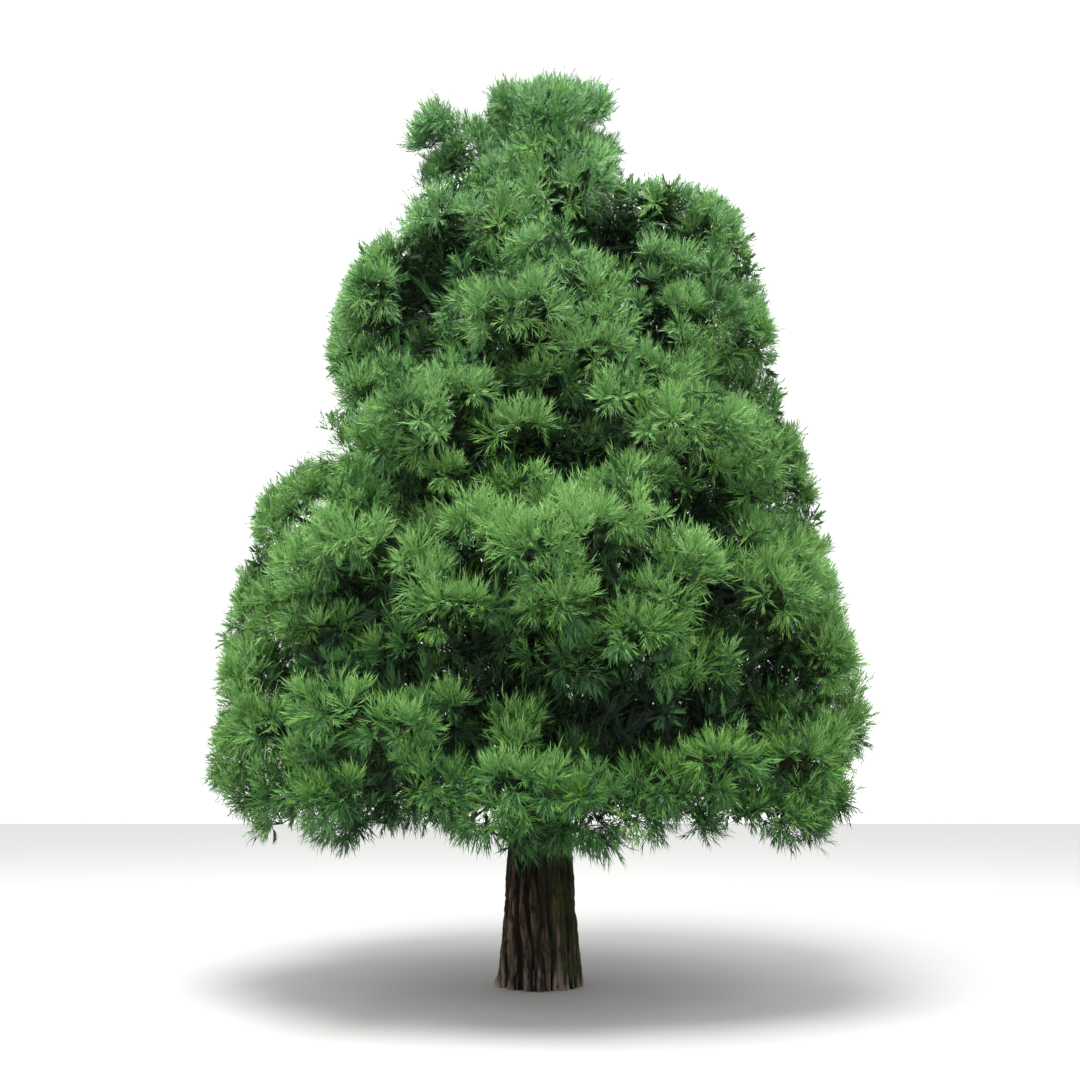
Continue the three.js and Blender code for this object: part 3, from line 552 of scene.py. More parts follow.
def trunk_shell(z, sides):
    u = np.arange(sides)[None] / sides
    zz = z[:, None] + 0 * u
    turn = 2 * np.pi * u
    foot = np.exp(-zz / 0.45)
    fade = np.exp(-zz / FLUTE_FADE)
    ribs = np.cos(FLUTES * turn) + 0.6 * np.cos(5 * turn + 1.1) + 0.4 * np.cos(3 * turn + 2.4)
    r = stem_radius(zz) * (1 + FLUTE_DEPTH * 0.5 * fade * ribs)
    height, relief = bark_relief(u + 0 * zz, zz, foot)
    slim = np.clip(stem_radius(zz) / 0.25, 0.12, 1)
    r = r + (relief - 0.58 * (0.050 + 0.034 * foot)) * slim
    c = stem_centre(zz)
    x = c[..., 0] + r * np.sin(turn)
    y = c[..., 1] - r * np.cos(turn)
    verts = np.stack([x, y, zz], -1).reshape(-1, 3)
    n = len(z)
    i = np.arange(n - 1)[:, None] * sides
    j = np.arange(sides)[None]
    k = (j + 1) % sides
    quads = np.stack([i + j, i + k, i + sides + k, i + sides + j], -1).reshape(-1, 4)
    tris = np.concatenate([quads[:, [0, 1, 2]], quads[:, [0, 2, 3]]])
    moss = np.clip(0.5 + 0.7 * np.sin(turn) - 0.25 * np.cos(turn), 0, 1) * np.clip(zz / 0.25, 0, 1) * np.clip(1.9 - 0.55 * zz, 0.15, 1)
    # painted shade under the crown: the bark is drawn darker from a quarter metre up
    painted_shade = np.clip((zz - 0.25) / 1.1, 0, 1)
    return verts, tris, height.ravel(), (np.exp(-zz / 0.20) + 0 * u).ravel(), (moss + 0 * zz).ravel(), (painted_shade + 0 * u).ravel()


SIDES = 288
low = np.concatenate([np.linspace(0, 0.5, 46)[:-1], np.linspace(0.5, 1.56, 70)])
high = np.linspace(1.54, TRUNK_TOP, 112)
v1, f1, h1, w1, m1, g1 = trunk_shell(low, SIDES)
v2, f2, h2, w2, m2, g2 = trunk_shell(high, 56)
cap_v = np.array([[0.0, 0.0, 0.0]])
ringA = np.arange(SIDES)
cap_f = np.stack([np.full(SIDES, 0), 1 + (ringA + 1) % SIDES, 1 + ringA], -1)
cap = np.concatenate([cap_v, v1[:SIDES]])
tv, tf = join([(v1, f1), (v2, f2), (cap, cap_f)])
under_cut = np.zeros(SIDES + 1)
values = {"furrow": np.concatenate([h1, h2, under_cut + 0.2]), "weather": np.concatenate([w1, w2, under_cut]), "moss": np.concatenate([m1, m2, under_cut]), "painted_shade": np.concatenate([g1, g2, under_cut])}
trunk = piece("trunk_bark", tv, tf, [TRUNK_BARK], smooth=True, values=values)
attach(trunk, "root")
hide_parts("trunk")


# ------------------------------------------------------------------ masses, their limbs and billows
class Mass:
    pass


masses = []
for tier, (bough, rows) in TIERS.items():
    for side, (az, z, out, deep, wide, tall, tilt) in rows.items():
        m = Mass()
        m.tier, m.side, m.node = tier, side, f"foliage_{tier}_{side}"
        m.bough_node = None if m.node in ON_STEM else f"bough_{tier}_{side}"
        m.rise, m.bend, m.r0, m.r1 = bough
        m.az, m.deep, m.wide, m.tall = az, deep, wide, tall
        m.away = away(az)
        m.c = m.away * out + UP * z
        me = nodes[m.node].data
        v = np.empty(len(me.vertices) * 3, np.float32)
        me.vertices.foreach_get("co", v)
        me.calc_loop_triangles()
        t = np.empty(len(me.loop_triangles) * 3, np.int32)
        me.loop_triangles.foreach_get("vertices", t)
        m.tri = v.reshape(-1, 3).astype(float)[t.reshape(-1, 3)]
        masses.append(m)

by_node = {m.node: m for m in masses}


class Billow:
    pass


def billow(m, c, w, h, tone, az=None):
    b = Billow()
    b.mass = m
    b.c = c
    b.o = unit(np.array([c[0], c[1], 0.0])) if np.hypot(c[0], c[1]) > 0.12 else m.away
    b.s = np.cross(UP, b.o)
    b.r = np.array([0.5 * (w + h) * 1.05, w, 1.08 * h])  # outwards, round, up
    b.tone = tone
    return b


rng = np.random.default_rng(52817)
billows = [billow(by_node["foliage_" + n], away(az) * out + UP * z, w, h, tone) for n, az, out, z, w, h, tone in BILLOWS]
for m in masses:
    e1, e2 = m.tri[:, 1] - m.tri[:, 0], m.tri[:, 2] - m.tri[:, 0]
    nrm = np.cross(e1, e2)
    area = np.linalg.norm(nrm, axis=1) / 2
    nrm = unit(nrm)
    pick = rng.choice(len(area), 500, p=area / area.sum())
    a, b = rng.random(500), rng.random(500)
    flip = a + b > 1
    a, b = np.where(flip, 1 - a, a), np.where(flip, 1 - b, b)
    pts = m.tri[pick, 0] + a[:, None] * e1[pick] + b[:, None] * e2[pick]
    small = m.tier == "crown"
    gap = 0.36 if small else 0.46
    for q, n in zip(pts, nrm[pick]):
        outward = unit(np.array([q[0], q[1], 0.0]))
        if n @ outward < (-0.5 if m.node in ON_STEM else -0.05) and n[2] < 0.55:
            continue
        if n[2] < -0.8:
            continue
        w = rng.uniform(0.24, 0.31) if small else rng.uniform(0.31, 0.44)
        h = w * rng.uniform(0.78, 1.00)
        c = q - n * 0.70 * (w + h) / 2
        if np.hypot(c[0], c[1]) < 0.45 * np.hypot(m.c[0], m.c[1]) and m.node not in ON_STEM:
            continue
        if any(np.linalg.norm(c - o.c) < gap * (0.5 + 0.5 * (o.r[1] + w) / 0.78) for o in billows):
            continue
        if any(np.linalg.norm(c - (away(az) * out + UP * z)) < r * 0.9 + 0.1 for az, out, z, r in HOLLOWS):
            continue
        billows.append(billow(m, c, w, h, rng.uniform(-0.12, 0.14)))
EDGE = np.array([(1.5, 2.50), (2.2, 2.88), (3.1, 2.84), (4.0, 2.66), (5.0, 2.34), (6.0, 2.13), (7.0, 1.86), (7.8, 1.20), (8.3, 0.60)])
for _ in range(1400):  # smaller billows that close the gaps between the tiers
    z, az = rng.uniform(1.75, 7.6), rng.uniform(0, 360)
    w = rng.uniform(0.23, 0.34)
    c = away(az) * (np.interp(z, EDGE[:, 0], EDGE[:, 1]) - w - rng.uniform(0.12, 0.34)) + UP * z
    if any(np.linalg.norm(c - o.c) < 0.54 for o in billows) or any(np.linalg.norm(c - (away(a) * out + UP * h)) < r + 0.24 for a, out, h, r in HOLLOWS):
        continue
    near = min((m for m in masses if m.tier != "crown"), key=lambda m: np.linalg.norm((c - m.c) / [1, 1, 0.8]))
    billows.append(billow(near, c, w, w * rng.uniform(0.78, 1.0), rng.uniform(-0.16, 0.04)))
print("billows", len(billows))

# limbs: the CAD's own bough curve, carried on inside the mass to near its far side
limb_paths, limb_radii = {}, {}
for m in masses:
    if m.bough_node is None:
        continue
    z0 = m.c[2] + m.rise
    start = stem_centre(z0)
    end = m.c - m.away * 0.15 * m.deep
    mid = (start + end) / 2 + UP * m.bend
    s = np.linspace(0, 1, 15)[:, None]
    first = (1 - s) ** 2 * start + 2 * s * (1 - s) * mid + s**2 * end
    last_dir = unit(first[-1] - first[-2])
    s = np.linspace(0, 1, 9)[1:, None]
    lift = UP * (0.10 if m.tier != "skirt" else -0.02)
    second = end + last_dir * (0.62 * m.deep) * s + lift * s**2
    limb_paths[m.node] = np.concatenate([first, second])
    limb_radii[m.node] = np.concatenate([np.linspace(m.r0, m.r1, 15), np.linspace(m.r1, 0.006, 9)[1:]])


def limb_mesh():
    paths = np.stack(list(limb_paths.values()))
    radii = np.stack(list(limb_radii.values()))
    n, p, _ = paths.shape
    sides = 14
    verts, faces = tubes(paths, radii, sides)
    # low ridges run along each limb, and a collar where it leaves the stem
    u = np.tile(np.arange(sides) / sides, (n, p, 1))
    along = np.linspace(0, 1, p)[None, :, None]
    limb = np.arange(n)[:, None, None] * 13.7
    ridge = lattice_noise(u, along * 9 + limb, 7, 31) * 0.6 + lattice_noise(u, along * 30 + limb, 14, 32) * 0.4
    scale = 0.90 + 0.22 * ridge
    centre = np.repeat(paths, sides, axis=1)
    v = centre + (verts - centre) * scale.reshape(n, p * sides, 1)
    return v, faces, ridge.reshape(-1)


lv, lf, lr = limb_mesh()
zero = np.zeros(len(lr))
boughs = piece("bough_limbs", lv.reshape(-1, 3), lf, [BOUGH_BARK], smooth=True, values={"furrow": lr, "weather": zero, "moss": zero + 0.25})
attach(boughs, "root")
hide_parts(*[m.bough_node for m in masses if m.bough_node])

# a branch from the limb, or from the stem, to each billow
starts, dirs, ends, end_dirs, r0s = [], [], [], [], []
for b in billows:
    m = b.mass
    root_end = b.c - b.o * 0.35 * b.r[0] - UP * 0.25 * b.r[2]
    if m.bough_node:
        path, radii = limb_paths[m.node], limb_radii[m.node]
        reach = np.linalg.norm(path - root_end, axis=1) + 0.55 * np.maximum(0, np.linalg.norm(path - path[0], axis=1) - 0.75 * np.linalg.norm(root_end - path[0]))
        i = int(np.clip(np.argmin(reach), 6, len(path) - 2))
        q, tangent, r = path[i], unit(path[i + 1] - path[i]), radii[i] * 0.72
    else:
        z = b.c[2] - 0.30 - 0.25 * np.hypot(b.c[0], b.c[1])
        z = min(z, TRUNK_TOP - 0.25)
        q, tangent, r = stem_centre(z), unit(b.o + UP * 0.6), min(0.016, stem_radius(z) * 0.6)
    d = np.linalg.norm(root_end - q)
    starts.append(q)
    dirs.append((tangent + unit(root_end - q)) * 0.5 * d)
    ends.append(root_end)
    end_dirs.append(unit(b.o + UP * (0.5 if m.tier != "skirt" else 0.0)) * 0.6 * d)
    r0s.append(max(0.008, min(r, 0.020)))
    b.root = root_end
starts, dirs, ends, end_dirs = (np.array(x) for x in (starts, dirs, ends, end_dirs))
branch_paths = hermite(starts, dirs, ends, end_dirs, 7)
wiggle = rng.normal(0, 0.010, branch_paths.shape) * np.array([0, 0.6, 1, 1, 1, 0.6, 0])[None, :, None]
branch_paths = branch_paths + wiggle
taper = np.linspace(1, 0, 7)[None] * (np.array(r0s) - 0.005)[:, None] + 0.005
bv, bf = tubes(branch_paths, taper, 5)
br = rng.random(bv.shape[0] * bv.shape[1])
zero = np.zeros(len(br))
branches = piece("billow_branches", bv.reshape(-1, 3), bf, [BRANCH_BARK], smooth=True, values={"furrow": br, "weather": zero, "moss": zero + 0.2})
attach(branches, "root")
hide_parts(*[m.node for m in masses])

# ------------------------------------------------------------------ tufts of plumes on each billow
HEAD_AREA = 0.054
C = np.array([b.c for b in billows])
O = np.array([b.o for b in billows])
S = np.array([b.s for b in billows])
R = np.array([b.r for b in billows])
MASS_OUT = np.array([np.hypot(b.mass.c[0], b.mass.c[1]) for b in billows])
ON_STEM_K = np.array([b.mass.node in ON_STEM for b in billows])
THIN = {"foliage_crown_left"}
golden = math.pi * (3 - math.sqrt(5))


def scaled(points, k):
    d = points - C[k]
    return np.stack([d @ O[k], d @ S[k], d[..., 2]], -1) / R[k]


def depth_in(points, skip, grow=1.0):
    """For each point the smallest scaled distance to any other billow's centre: under 1 is inside it."""
    best = np.full(len(points), 9.0)
    near = np.nonzero(np.linalg.norm(C - C[skip], axis=1) < 1.7)[0]
    for k in near:
        if k != skip:
            best = np.minimum(best, np.linalg.norm(scaled(points, k), axis=1) / grow)
    return best


def ripple(p):
    x, y, z = p[..., 0], p[..., 1], p[..., 2]
    return (np.sin(5.1 * x + 2.3 * z + 0.4) + np.sin(4.3 * y - 3.7 * z + 1.9) + np.sin(6.7 * z + 2.9 * x - 2.2 * y) + np.sin(9.1 * x - 7.3 * y + 5.2 * z)) / 4


def openness(points, normals, owner):
    """Share of the light from above and outside that reaches each point past the other billows."""
    n = 40
    i = np.arange(n) + 0.5
    zc = 1 - 1.35 * i / n
    ph = i * golden
    ways = np.stack([np.sqrt(1 - zc**2) * np.cos(ph), np.sqrt(1 - zc**2) * np.sin(ph), zc], -1)
    got, most = np.zeros(len(points)), np.zeros(len(points))
    for w in ways:
        weight = np.clip(normals @ w + 0.25, 0, 1) * (0.35 + 0.65 * max(0.0, w[2]))
        blocked = np.zeros(len(points), bool)
        for k in range(len(billows)):
            dk = np.array([w @ O[k], w @ S[k], w[2]]) / R[k]
            rel = C[k] - points
            t = rel @ w
            near = (t > 0) & (owner != k)
            if not near.any():
                continue
            q = scaled(points[near], k)
            a, bq, c = dk @ dk, q @ dk, (q * q).sum(1) - 0.80**2
            hit = (c < 0) | ((bq < 0) & (bq * bq - a * c > 0))
            idx = np.nonzero(near)[0]
            blocked[idx[hit]] = True
        got += weight * ~blocked
        most += weight
    return got / np.maximum(most, 1e-6)


hollow_c = np.array([away(az) * out + UP * z for az, out, z, r in HOLLOWS])
hollow_r = np.array([r for *_, r in HOLLOWS])

hp, hn, hk = [], [], []
for k, b in enumerate(billows):
    m = b.mass
    area = 4 * math.pi * ((b.r[0] * b.r[1]) ** 1.6 / 3 + (b.r[0] * b.r[2]) ** 1.6 / 3 + (b.r[1] * b.r[2]) ** 1.6 / 3) ** (1 / 1.6)
    n = max(7, int(area / (HEAD_AREA * (0.7 if m.node in THIN else 1.24 if b.c[1] > 0.6 else 1.0))))
    i = np.arange(n) + 0.5
    zc = 1 - 2 * i / n
    ph = i * golden + rng.random() * 6.28
    q = np.stack([np.sqrt(1 - zc**2) * np.cos(ph), np.sqrt(1 - zc**2) * np.sin(ph), zc], -1)
    q = unit(q + rng.normal(0, 0.20, q.shape))
    local = q * b.r
    pos = b.c + local[:, :1] * b.o + local[:, 1:2] * b.s + local[:, 2:] * UP
    g = q / b.r
    nrm = unit(g[:, :1] * b.o + g[:, 1:2] * b.s + g[:, 2:] * UP)
    pos = pos + nrm * (0.100 * ripple(pos)[:, None] - 0.035 + rng.normal(0, 0.045, (n, 1)))
    others = depth_in(pos, k, 0.90)
    facing = nrm @ b.o
    radial = np.linalg.norm(pos[:, :2], axis=1)
    keep = (others > 0.97) & ((facing > -0.35) | (nrm[:, 2] > 0.35)) & (nrm[:, 2] > -0.86)
    if m.node not in ON_STEM:
        keep &= radial > 0.50 * MASS_OUT[k]
    for hc, hr in zip(hollow_c, hollow_r):
        keep &= np.linalg.norm(pos - hc, axis=1) > hr
    hp.append(pos[keep])
    hn.append(nrm[keep])
    hk.append(np.full(int(keep.sum()), k))
# the seams between neighbouring billows are bridged by heads of their own
for i in range(len(billows)):
    for j in range(i + 1, len(billows)):
        line = C[j] - C[i]
        d = np.linalg.norm(line)
        r = (R[i].mean() + R[j].mean()) / 2
        if d > 1.75 * r or d < 0.5 * r:
            continue
        line = line / d
        lead = O[i] + O[j] + UP * 0.35
        lead = lead - line * (lead @ line)
        if np.linalg.norm(lead) < 0.3:
            continue
        lead = unit(lead)
        ring = math.sqrt(max(0.0, r * r - d * d / 4))
        for turn in (-0.75, 0.0, 0.75):
            way = unit(lead * math.cos(turn) + np.cross(line, lead) * math.sin(turn))
            at = (C[i] + C[j]) / 2 + way * (ring + 0.07)
            rest = min([np.linalg.norm(scaled(at, k)) for k in range(len(billows)) if k not in (i, j) and np.linalg.norm(C[k] - at) < 0.6], default=9.0)
            if rest < 0.95 or way[2] < -0.5 or (np.linalg.norm(hollow_c - at, axis=1) < hollow_r).any():
                continue
            hp.append(at[None])
            hn.append(way[None])
            hk.append(np.array([i]))
hp, hn, hk = np.concatenate(hp), np.concatenate(hn), np.concatenate(hk)


def inside_by(points):
    """How far inside the outline, as seen from the front, each point lies."""
    near = DISTANCE / (points[:, 1] + DISTANCE)
    x, z = points[:, 0] * near, EYE + (points[:, 2] - EYE) * near
    a, b = OUTLINE, np.roll(OUTLINE, -1, axis=0)
    inside = np.zeros(len(points), bool)
    gap = np.full(len(points), 9.0)
    for (ax, az), (bx, bz) in zip(a, b):
        if az != bz:
            cross = (az > z) != (bz > z)
            at = ax + (z - az) / (bz - az) * (bx - ax)
            inside ^= cross & (x < at)
        if az < 0.9 and bz < 0.9:
            continue
        t = np.clip(((x - ax) * (bx - ax) + (z - az) * (bz - az)) / ((bx - ax) ** 2 + (bz - az) ** 2), 0, 1)
        gap = np.minimum(gap, np.hypot(x - ax - t * (bx - ax), z - az - t * (bz - az)))
    return np.where(inside, gap, -gap) / near


light = openness(hp, hn, hk)
print("heads", len(hp), "openness", np.percentile(light, [5, 25, 50, 75, 95]).round(2))
hanging = np.array([billows[k].mass.tier == "skirt" for k in hk]) & (hn[:, 2] < 0.1)
at_rim = inside_by(hp) < 0.50
keep = (light > 0.10) | (rng.random(len(light)) < np.where(hanging | at_rim, 0.85, 0.28))
hp, hn, hk, light = hp[keep], hn[keep], hk[keep], light[keep]


# heads that would stand out past the outline are drawn in towards their billow, or left off
clear = inside_by(hp)
for _ in range(6):
    out_of = clear < 0.075
    inward = C[hk] - O[hk] * 0.10 - hp
    span = np.linalg.norm(inward, axis=1, keepdims=True)
    hp = np.where(out_of[:, None], hp + inward / np.maximum(span, 0.05) * np.minimum(0.055, span), hp)
    clear = inside_by(hp)
keep = clear > 0.03
hp, hn, hk, light = hp[keep], hn[keep], hk[keep], light[keep]
round_out = np.hypot(hp[:, 0], hp[:, 1])
hp[:, :2] *= (np.minimum(round_out, 2.93) / round_out)[:, None]
hp[:, 1] = np.clip(hp[:, 1], -2.84, 2.84)
hp[:, 2] = np.maximum(hp[:, 2], 1.36 + 0.06 * np.sin(3.1 * hp[:, 0] + 4.3 * hp[:, 1]))
print("within the outline", int(keep.sum()), "left off", int((~keep).sum()))
size = rng.uniform(0.68, 1.26, len(hp))
OB = O[hk]
skirt = np.array([billows[k].mass.tier == "skirt" for k in hk])
below = np.clip((1.85 - hp[:, 2]) / 0.7, 0, 1) * skirt
under = np.clip(-hn[:, 2] - 0.05, 0, 0.8)
spire = np.clip((hp[:, 2] - 7.6) / 0.6, 0, 1)
lift = 0.52 - 0.50 * under - 0.50 * below + 0.75 * spire
spray = np.array([billows[k].mass.node in THIN for k in hk])
HD = unit(hn * np.where(spray, 0.38, 0.72)[:, None] + OB * (0.22 + 0.5 * under + 0.30 * spray)[:, None] + UP * (lift + 0.20 * spray)[:, None] + rng.normal(0, 0.32, hp.shape))
droop = np.maximum(below, 0.75 * under)
HT = hp - hn * (0.135 * size)[:, None] - UP * (0.04 + 0.05 * np.clip(hn[:, 2], 0, 1))[:, None]
HF = unit(hn * 0.55 + OB * 0.35 + UP * 0.45)
# head tone, in part painted light and shade: lighter where the head is open to the sky and where it faces up, darker
# low in the crown and lighter towards the far left and right, with the billow's tone and a random spread on top
head_tone = 0.30 + 0.42 * light + 0.12 * hn[:, 2] + 0.50 * np.array([billows[k].tone for k in hk]) + np.interp(hp[:, 2], [1.5, 2.4, 3.4, 5.0, 7.0, 9.0], [-0.32, -0.16, 0.08, 0.14, 0.08, 0.01]) + 0.20 * np.clip((np.abs(hp[:, 0]) - 1.2) / 1.2, 0, 1) + rng.normal(0, 0.10, len(hp))
print("kept heads", len(hp))

# old growth: a loose dark shell inside each mass and round the stem, and along the limbs; its dark green is partly
# older foliage and partly painted shade deep in the crown
ip, iw, ik = [], [], []
first = {m.node: next(k for k, b in enumerate(billows) if b.mass is m) for m in masses}
for m in masses:
    if m.node in THIN:
        continue
    side = np.cross(UP, m.away)
    n = int(26 * (m.deep * m.wide * m.tall / 0.65) ** 0.67)
    for i in range(n):
        zc = 1 - 2 * (i + 0.5) / n
        turn = i * golden
        q = np.array([math.sqrt(1 - zc * zc) * math.cos(turn), math.sqrt(1 - zc * zc) * math.sin(turn), zc]) * rng.uniform(0.50, 0.66)
        at = m.c + m.away * (q[0] * m.deep - 0.12) + side * q[1] * m.wide + UP * q[2] * m.tall
        ip.append(at)
        iw.append(unit(rng.normal(0, 1, 3) + unit(q) * 0.4))
        ik.append(first[m.node])
    if m.bough_node:
        path = limb_paths[m.node]
        for s in np.linspace(0.22, 0.50, 4):
            x = s * (len(path) - 1)
            i = int(x)
            turn = rng.uniform(0, 6.28)
            ip.append(path[i] + (path[i + 1] - path[i]) * (x - i))
            iw.append(unit(side * math.cos(turn) + UP * math.sin(turn) * 0.8 + m.away * 0.3))
            ik.append(first[m.node])
for z in np.arange(1.60, 7.5, 0.26):
    edge = np.interp(z, EDGE[:, 0], EDGE[:, 1])
    for wide in (stem_radius(z) + 0.20, 0.28 * edge, 0.51 * edge, 0.73 * edge):
        if wide < 0.24:
            continue
        n = max(4, int(2 * math.pi * wide / (0.47 - 0.08 * (z > 6.2) - 0.06 * (z < 1.8))))
        for i in range(n):
            az = (i + rng.uniform(0, 0.8)) / n * 360
            at = stem_centre(z) + away(az) * wide * rng.uniform(0.85, 1.12) + UP * rng.uniform(-0.12, 0.12)
            if (np.linalg.norm(hollow_c - at, axis=1) < hollow_r).any():
                continue
            ip.append(at)
            iw.append(unit(rng.normal(0, 1, 3) * [1, 1, 0.6]))
            ik.append(int(np.argmin(np.linalg.norm(C - at, axis=1))))
ip, iw, ik = np.array(ip), np.array(iw), np.array(ik)
covered = (inside_by(ip) > 0.42) & (ip[:, 2] < 7.9) & (ip[:, 2] > 1.56)
for i, at in enumerate(ip):  # only where billows close it off from outside
    radial = np.array([at[0], at[1], 0.0]) / max(np.hypot(at[0], at[1]), 1e-6)
    ahead = (C - at) @ radial
    covered[i] &= bool(((np.linalg.norm(C - at, axis=1) < 0.80) & (ahead > 0.12)).sum() >= 2) or np.hypot(at[0], at[1]) < 0.75
ip, iw, ik = ip[covered], iw[covered], ik[covered]
old_size = 1.0 - 0.40 * np.clip((ip[:, 2] - 7.0) / 0.8, 0, 1) - 0.25 * (ip[:, 2] < 1.65)
# painted shade and older foliage: the old growth takes a dark tone
old_and_shaded_tone = np.full(len(ip), -0.12)
# and a few dim tufts inside each billow that is seen against the sky
rim = [k for k, b in enumerate(billows) if b.mass.node not in THIN and inside_by(b.c[None])[0] < 0.72]
fp = np.concatenate([C[k] + (rng.uniform(-0.6, 0.5, (3, 1)) * O[k] * R[k][0] + rng.uniform(-0.6, 0.6, (3, 1)) * S[k] * R[k][1] + rng.uniform(-0.6, 0.5, (3, 1)) * UP * R[k][2]) for k in rim])
of_rim = np.repeat(rim, 3)
good = (inside_by(fp) > 0.22) & (fp[:, 2] > 1.5) & (np.hypot(fp[:, 0], fp[:, 1]) < 2.80)
ip, iw, ik = np.concatenate([ip, fp[good]]), np.concatenate([iw, unit(rng.normal(0, 0.7, (good.sum(), 3)) + O[of_rim[good]] * 0.4 + UP * 0.5)]), np.concatenate([ik, of_rim[good]])
old_size = np.concatenate([old_size, np.full(good.sum(), 0.62)])
old_and_shaded_tone = np.concatenate([old_and_shaded_tone, rng.uniform(0.06, 0.26, good.sum())])
print("old growth", len(ip))

# twigs: from the billow's branch end to each head
roots = np.array([billows[k].root for k in hk])
span = np.linalg.norm(HT - roots, axis=1, keepdims=True)
ends = HT + HD * 0.03
bowed = (light > 0.35) & (hp[:, 1] < 0.6)
twig_paths = hermite(roots[bowed], (unit(HT - roots + OB * 0.1) * span * 0.9)[bowed], ends[bowed], (HD * span * 0.7)[bowed], 3)
tw_v, tw_f = tubes(twig_paths, np.linspace(0.0062, 0.0030, 3)[None] * np.ones((len(twig_paths), 1)), 3)
plain_v, plain_f = tubes(np.stack([roots, ends], 1)[~bowed], np.array([[0.0062, 0.0030]]) * np.ones((int((~bowed).sum()), 1)), 3)
# bare old twigs that hang in the hollows
bare_a = hollow_c - unit(hollow_c * [1, 1, 0]) * 0.45 + UP * 0.18
bare_b = hollow_c + np.cross(unit(hollow_c * [1, 1, 0]), UP) * 0.30 - UP * 0.22
bare_paths = hermite(bare_a, unit(hollow_c * [1, 1, 0]) * 0.5, bare_b, -UP * 0.3 + unit(hollow_c * [1, 1, 0]) * 0.1, 9)
bare_v, bare_f = tubes(bare_paths, np.linspace(0.007, 0.002, 9)[None] * np.ones((len(bare_paths), 1)), 5)
all_v, all_f = join([(tw_v, tw_f), (plain_v, plain_f), (bare_v, bare_f)])
twigs = piece("twigs", all_v, all_f, [TWIG_BARK])
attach(twigs, "root")
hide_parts(*[m.node for m in masses])
print("twig faces", len(all_f))


# ------------------------------------------------------------------ plumes and their scale-leaved cordlets
def perpendicular(d, ref):
    e1 = np.cross(d, ref)
    bad = np.linalg.norm(e1, axis=-1, keepdims=True) < 1e-3
    e1 = np.where(bad, np.cross(d, np.array([0.31, 0.22, 0.92])), e1)
    return unit(e1)


STEPS = np.array([0.00, 0.16, 0.32, 0.47, 0.62, 0.78])


def shades(tones, blue, fresh):
    """The leaf tone of each spray, from the shade inside to the newest tips in the light."""
    shade = np.searchsorted(STEPS, tones)
    draw = rng.random(len(shade))
    shade = np.where((shade >= 2) & (shade <= 4) & (draw < blue), BLUISH, shade)
    shade = np.where((shade >= 4) & (shade <= 6) & (draw < -fresh), PALE, shade)
    shade = np.where(tones < -0.30, UNLIT, shade)
    return np.where((shade >= 3) & (shade <= 5) & (draw > 1 - fresh), FRESH, shade)


def sunk(p):
    """Which points lie behind a hollow as seen from the front, up to 1.2 m in."""
    eye = away(0) * DISTANCE + UP * EYE
    hit = np.zeros(len(p), bool)
    for hc, hr in zip(hollow_c, hollow_r):
        far = np.linalg.norm(hc - eye)
        along = (p - eye) @ ((hc - eye) / far)
        off = np.linalg.norm(p - eye - along[:, None] * ((hc - eye) / far), axis=1)
        hit |= (along > far + 0.06) & (along < far + 1.2) & (off < 0.95 * hr)
    return hit


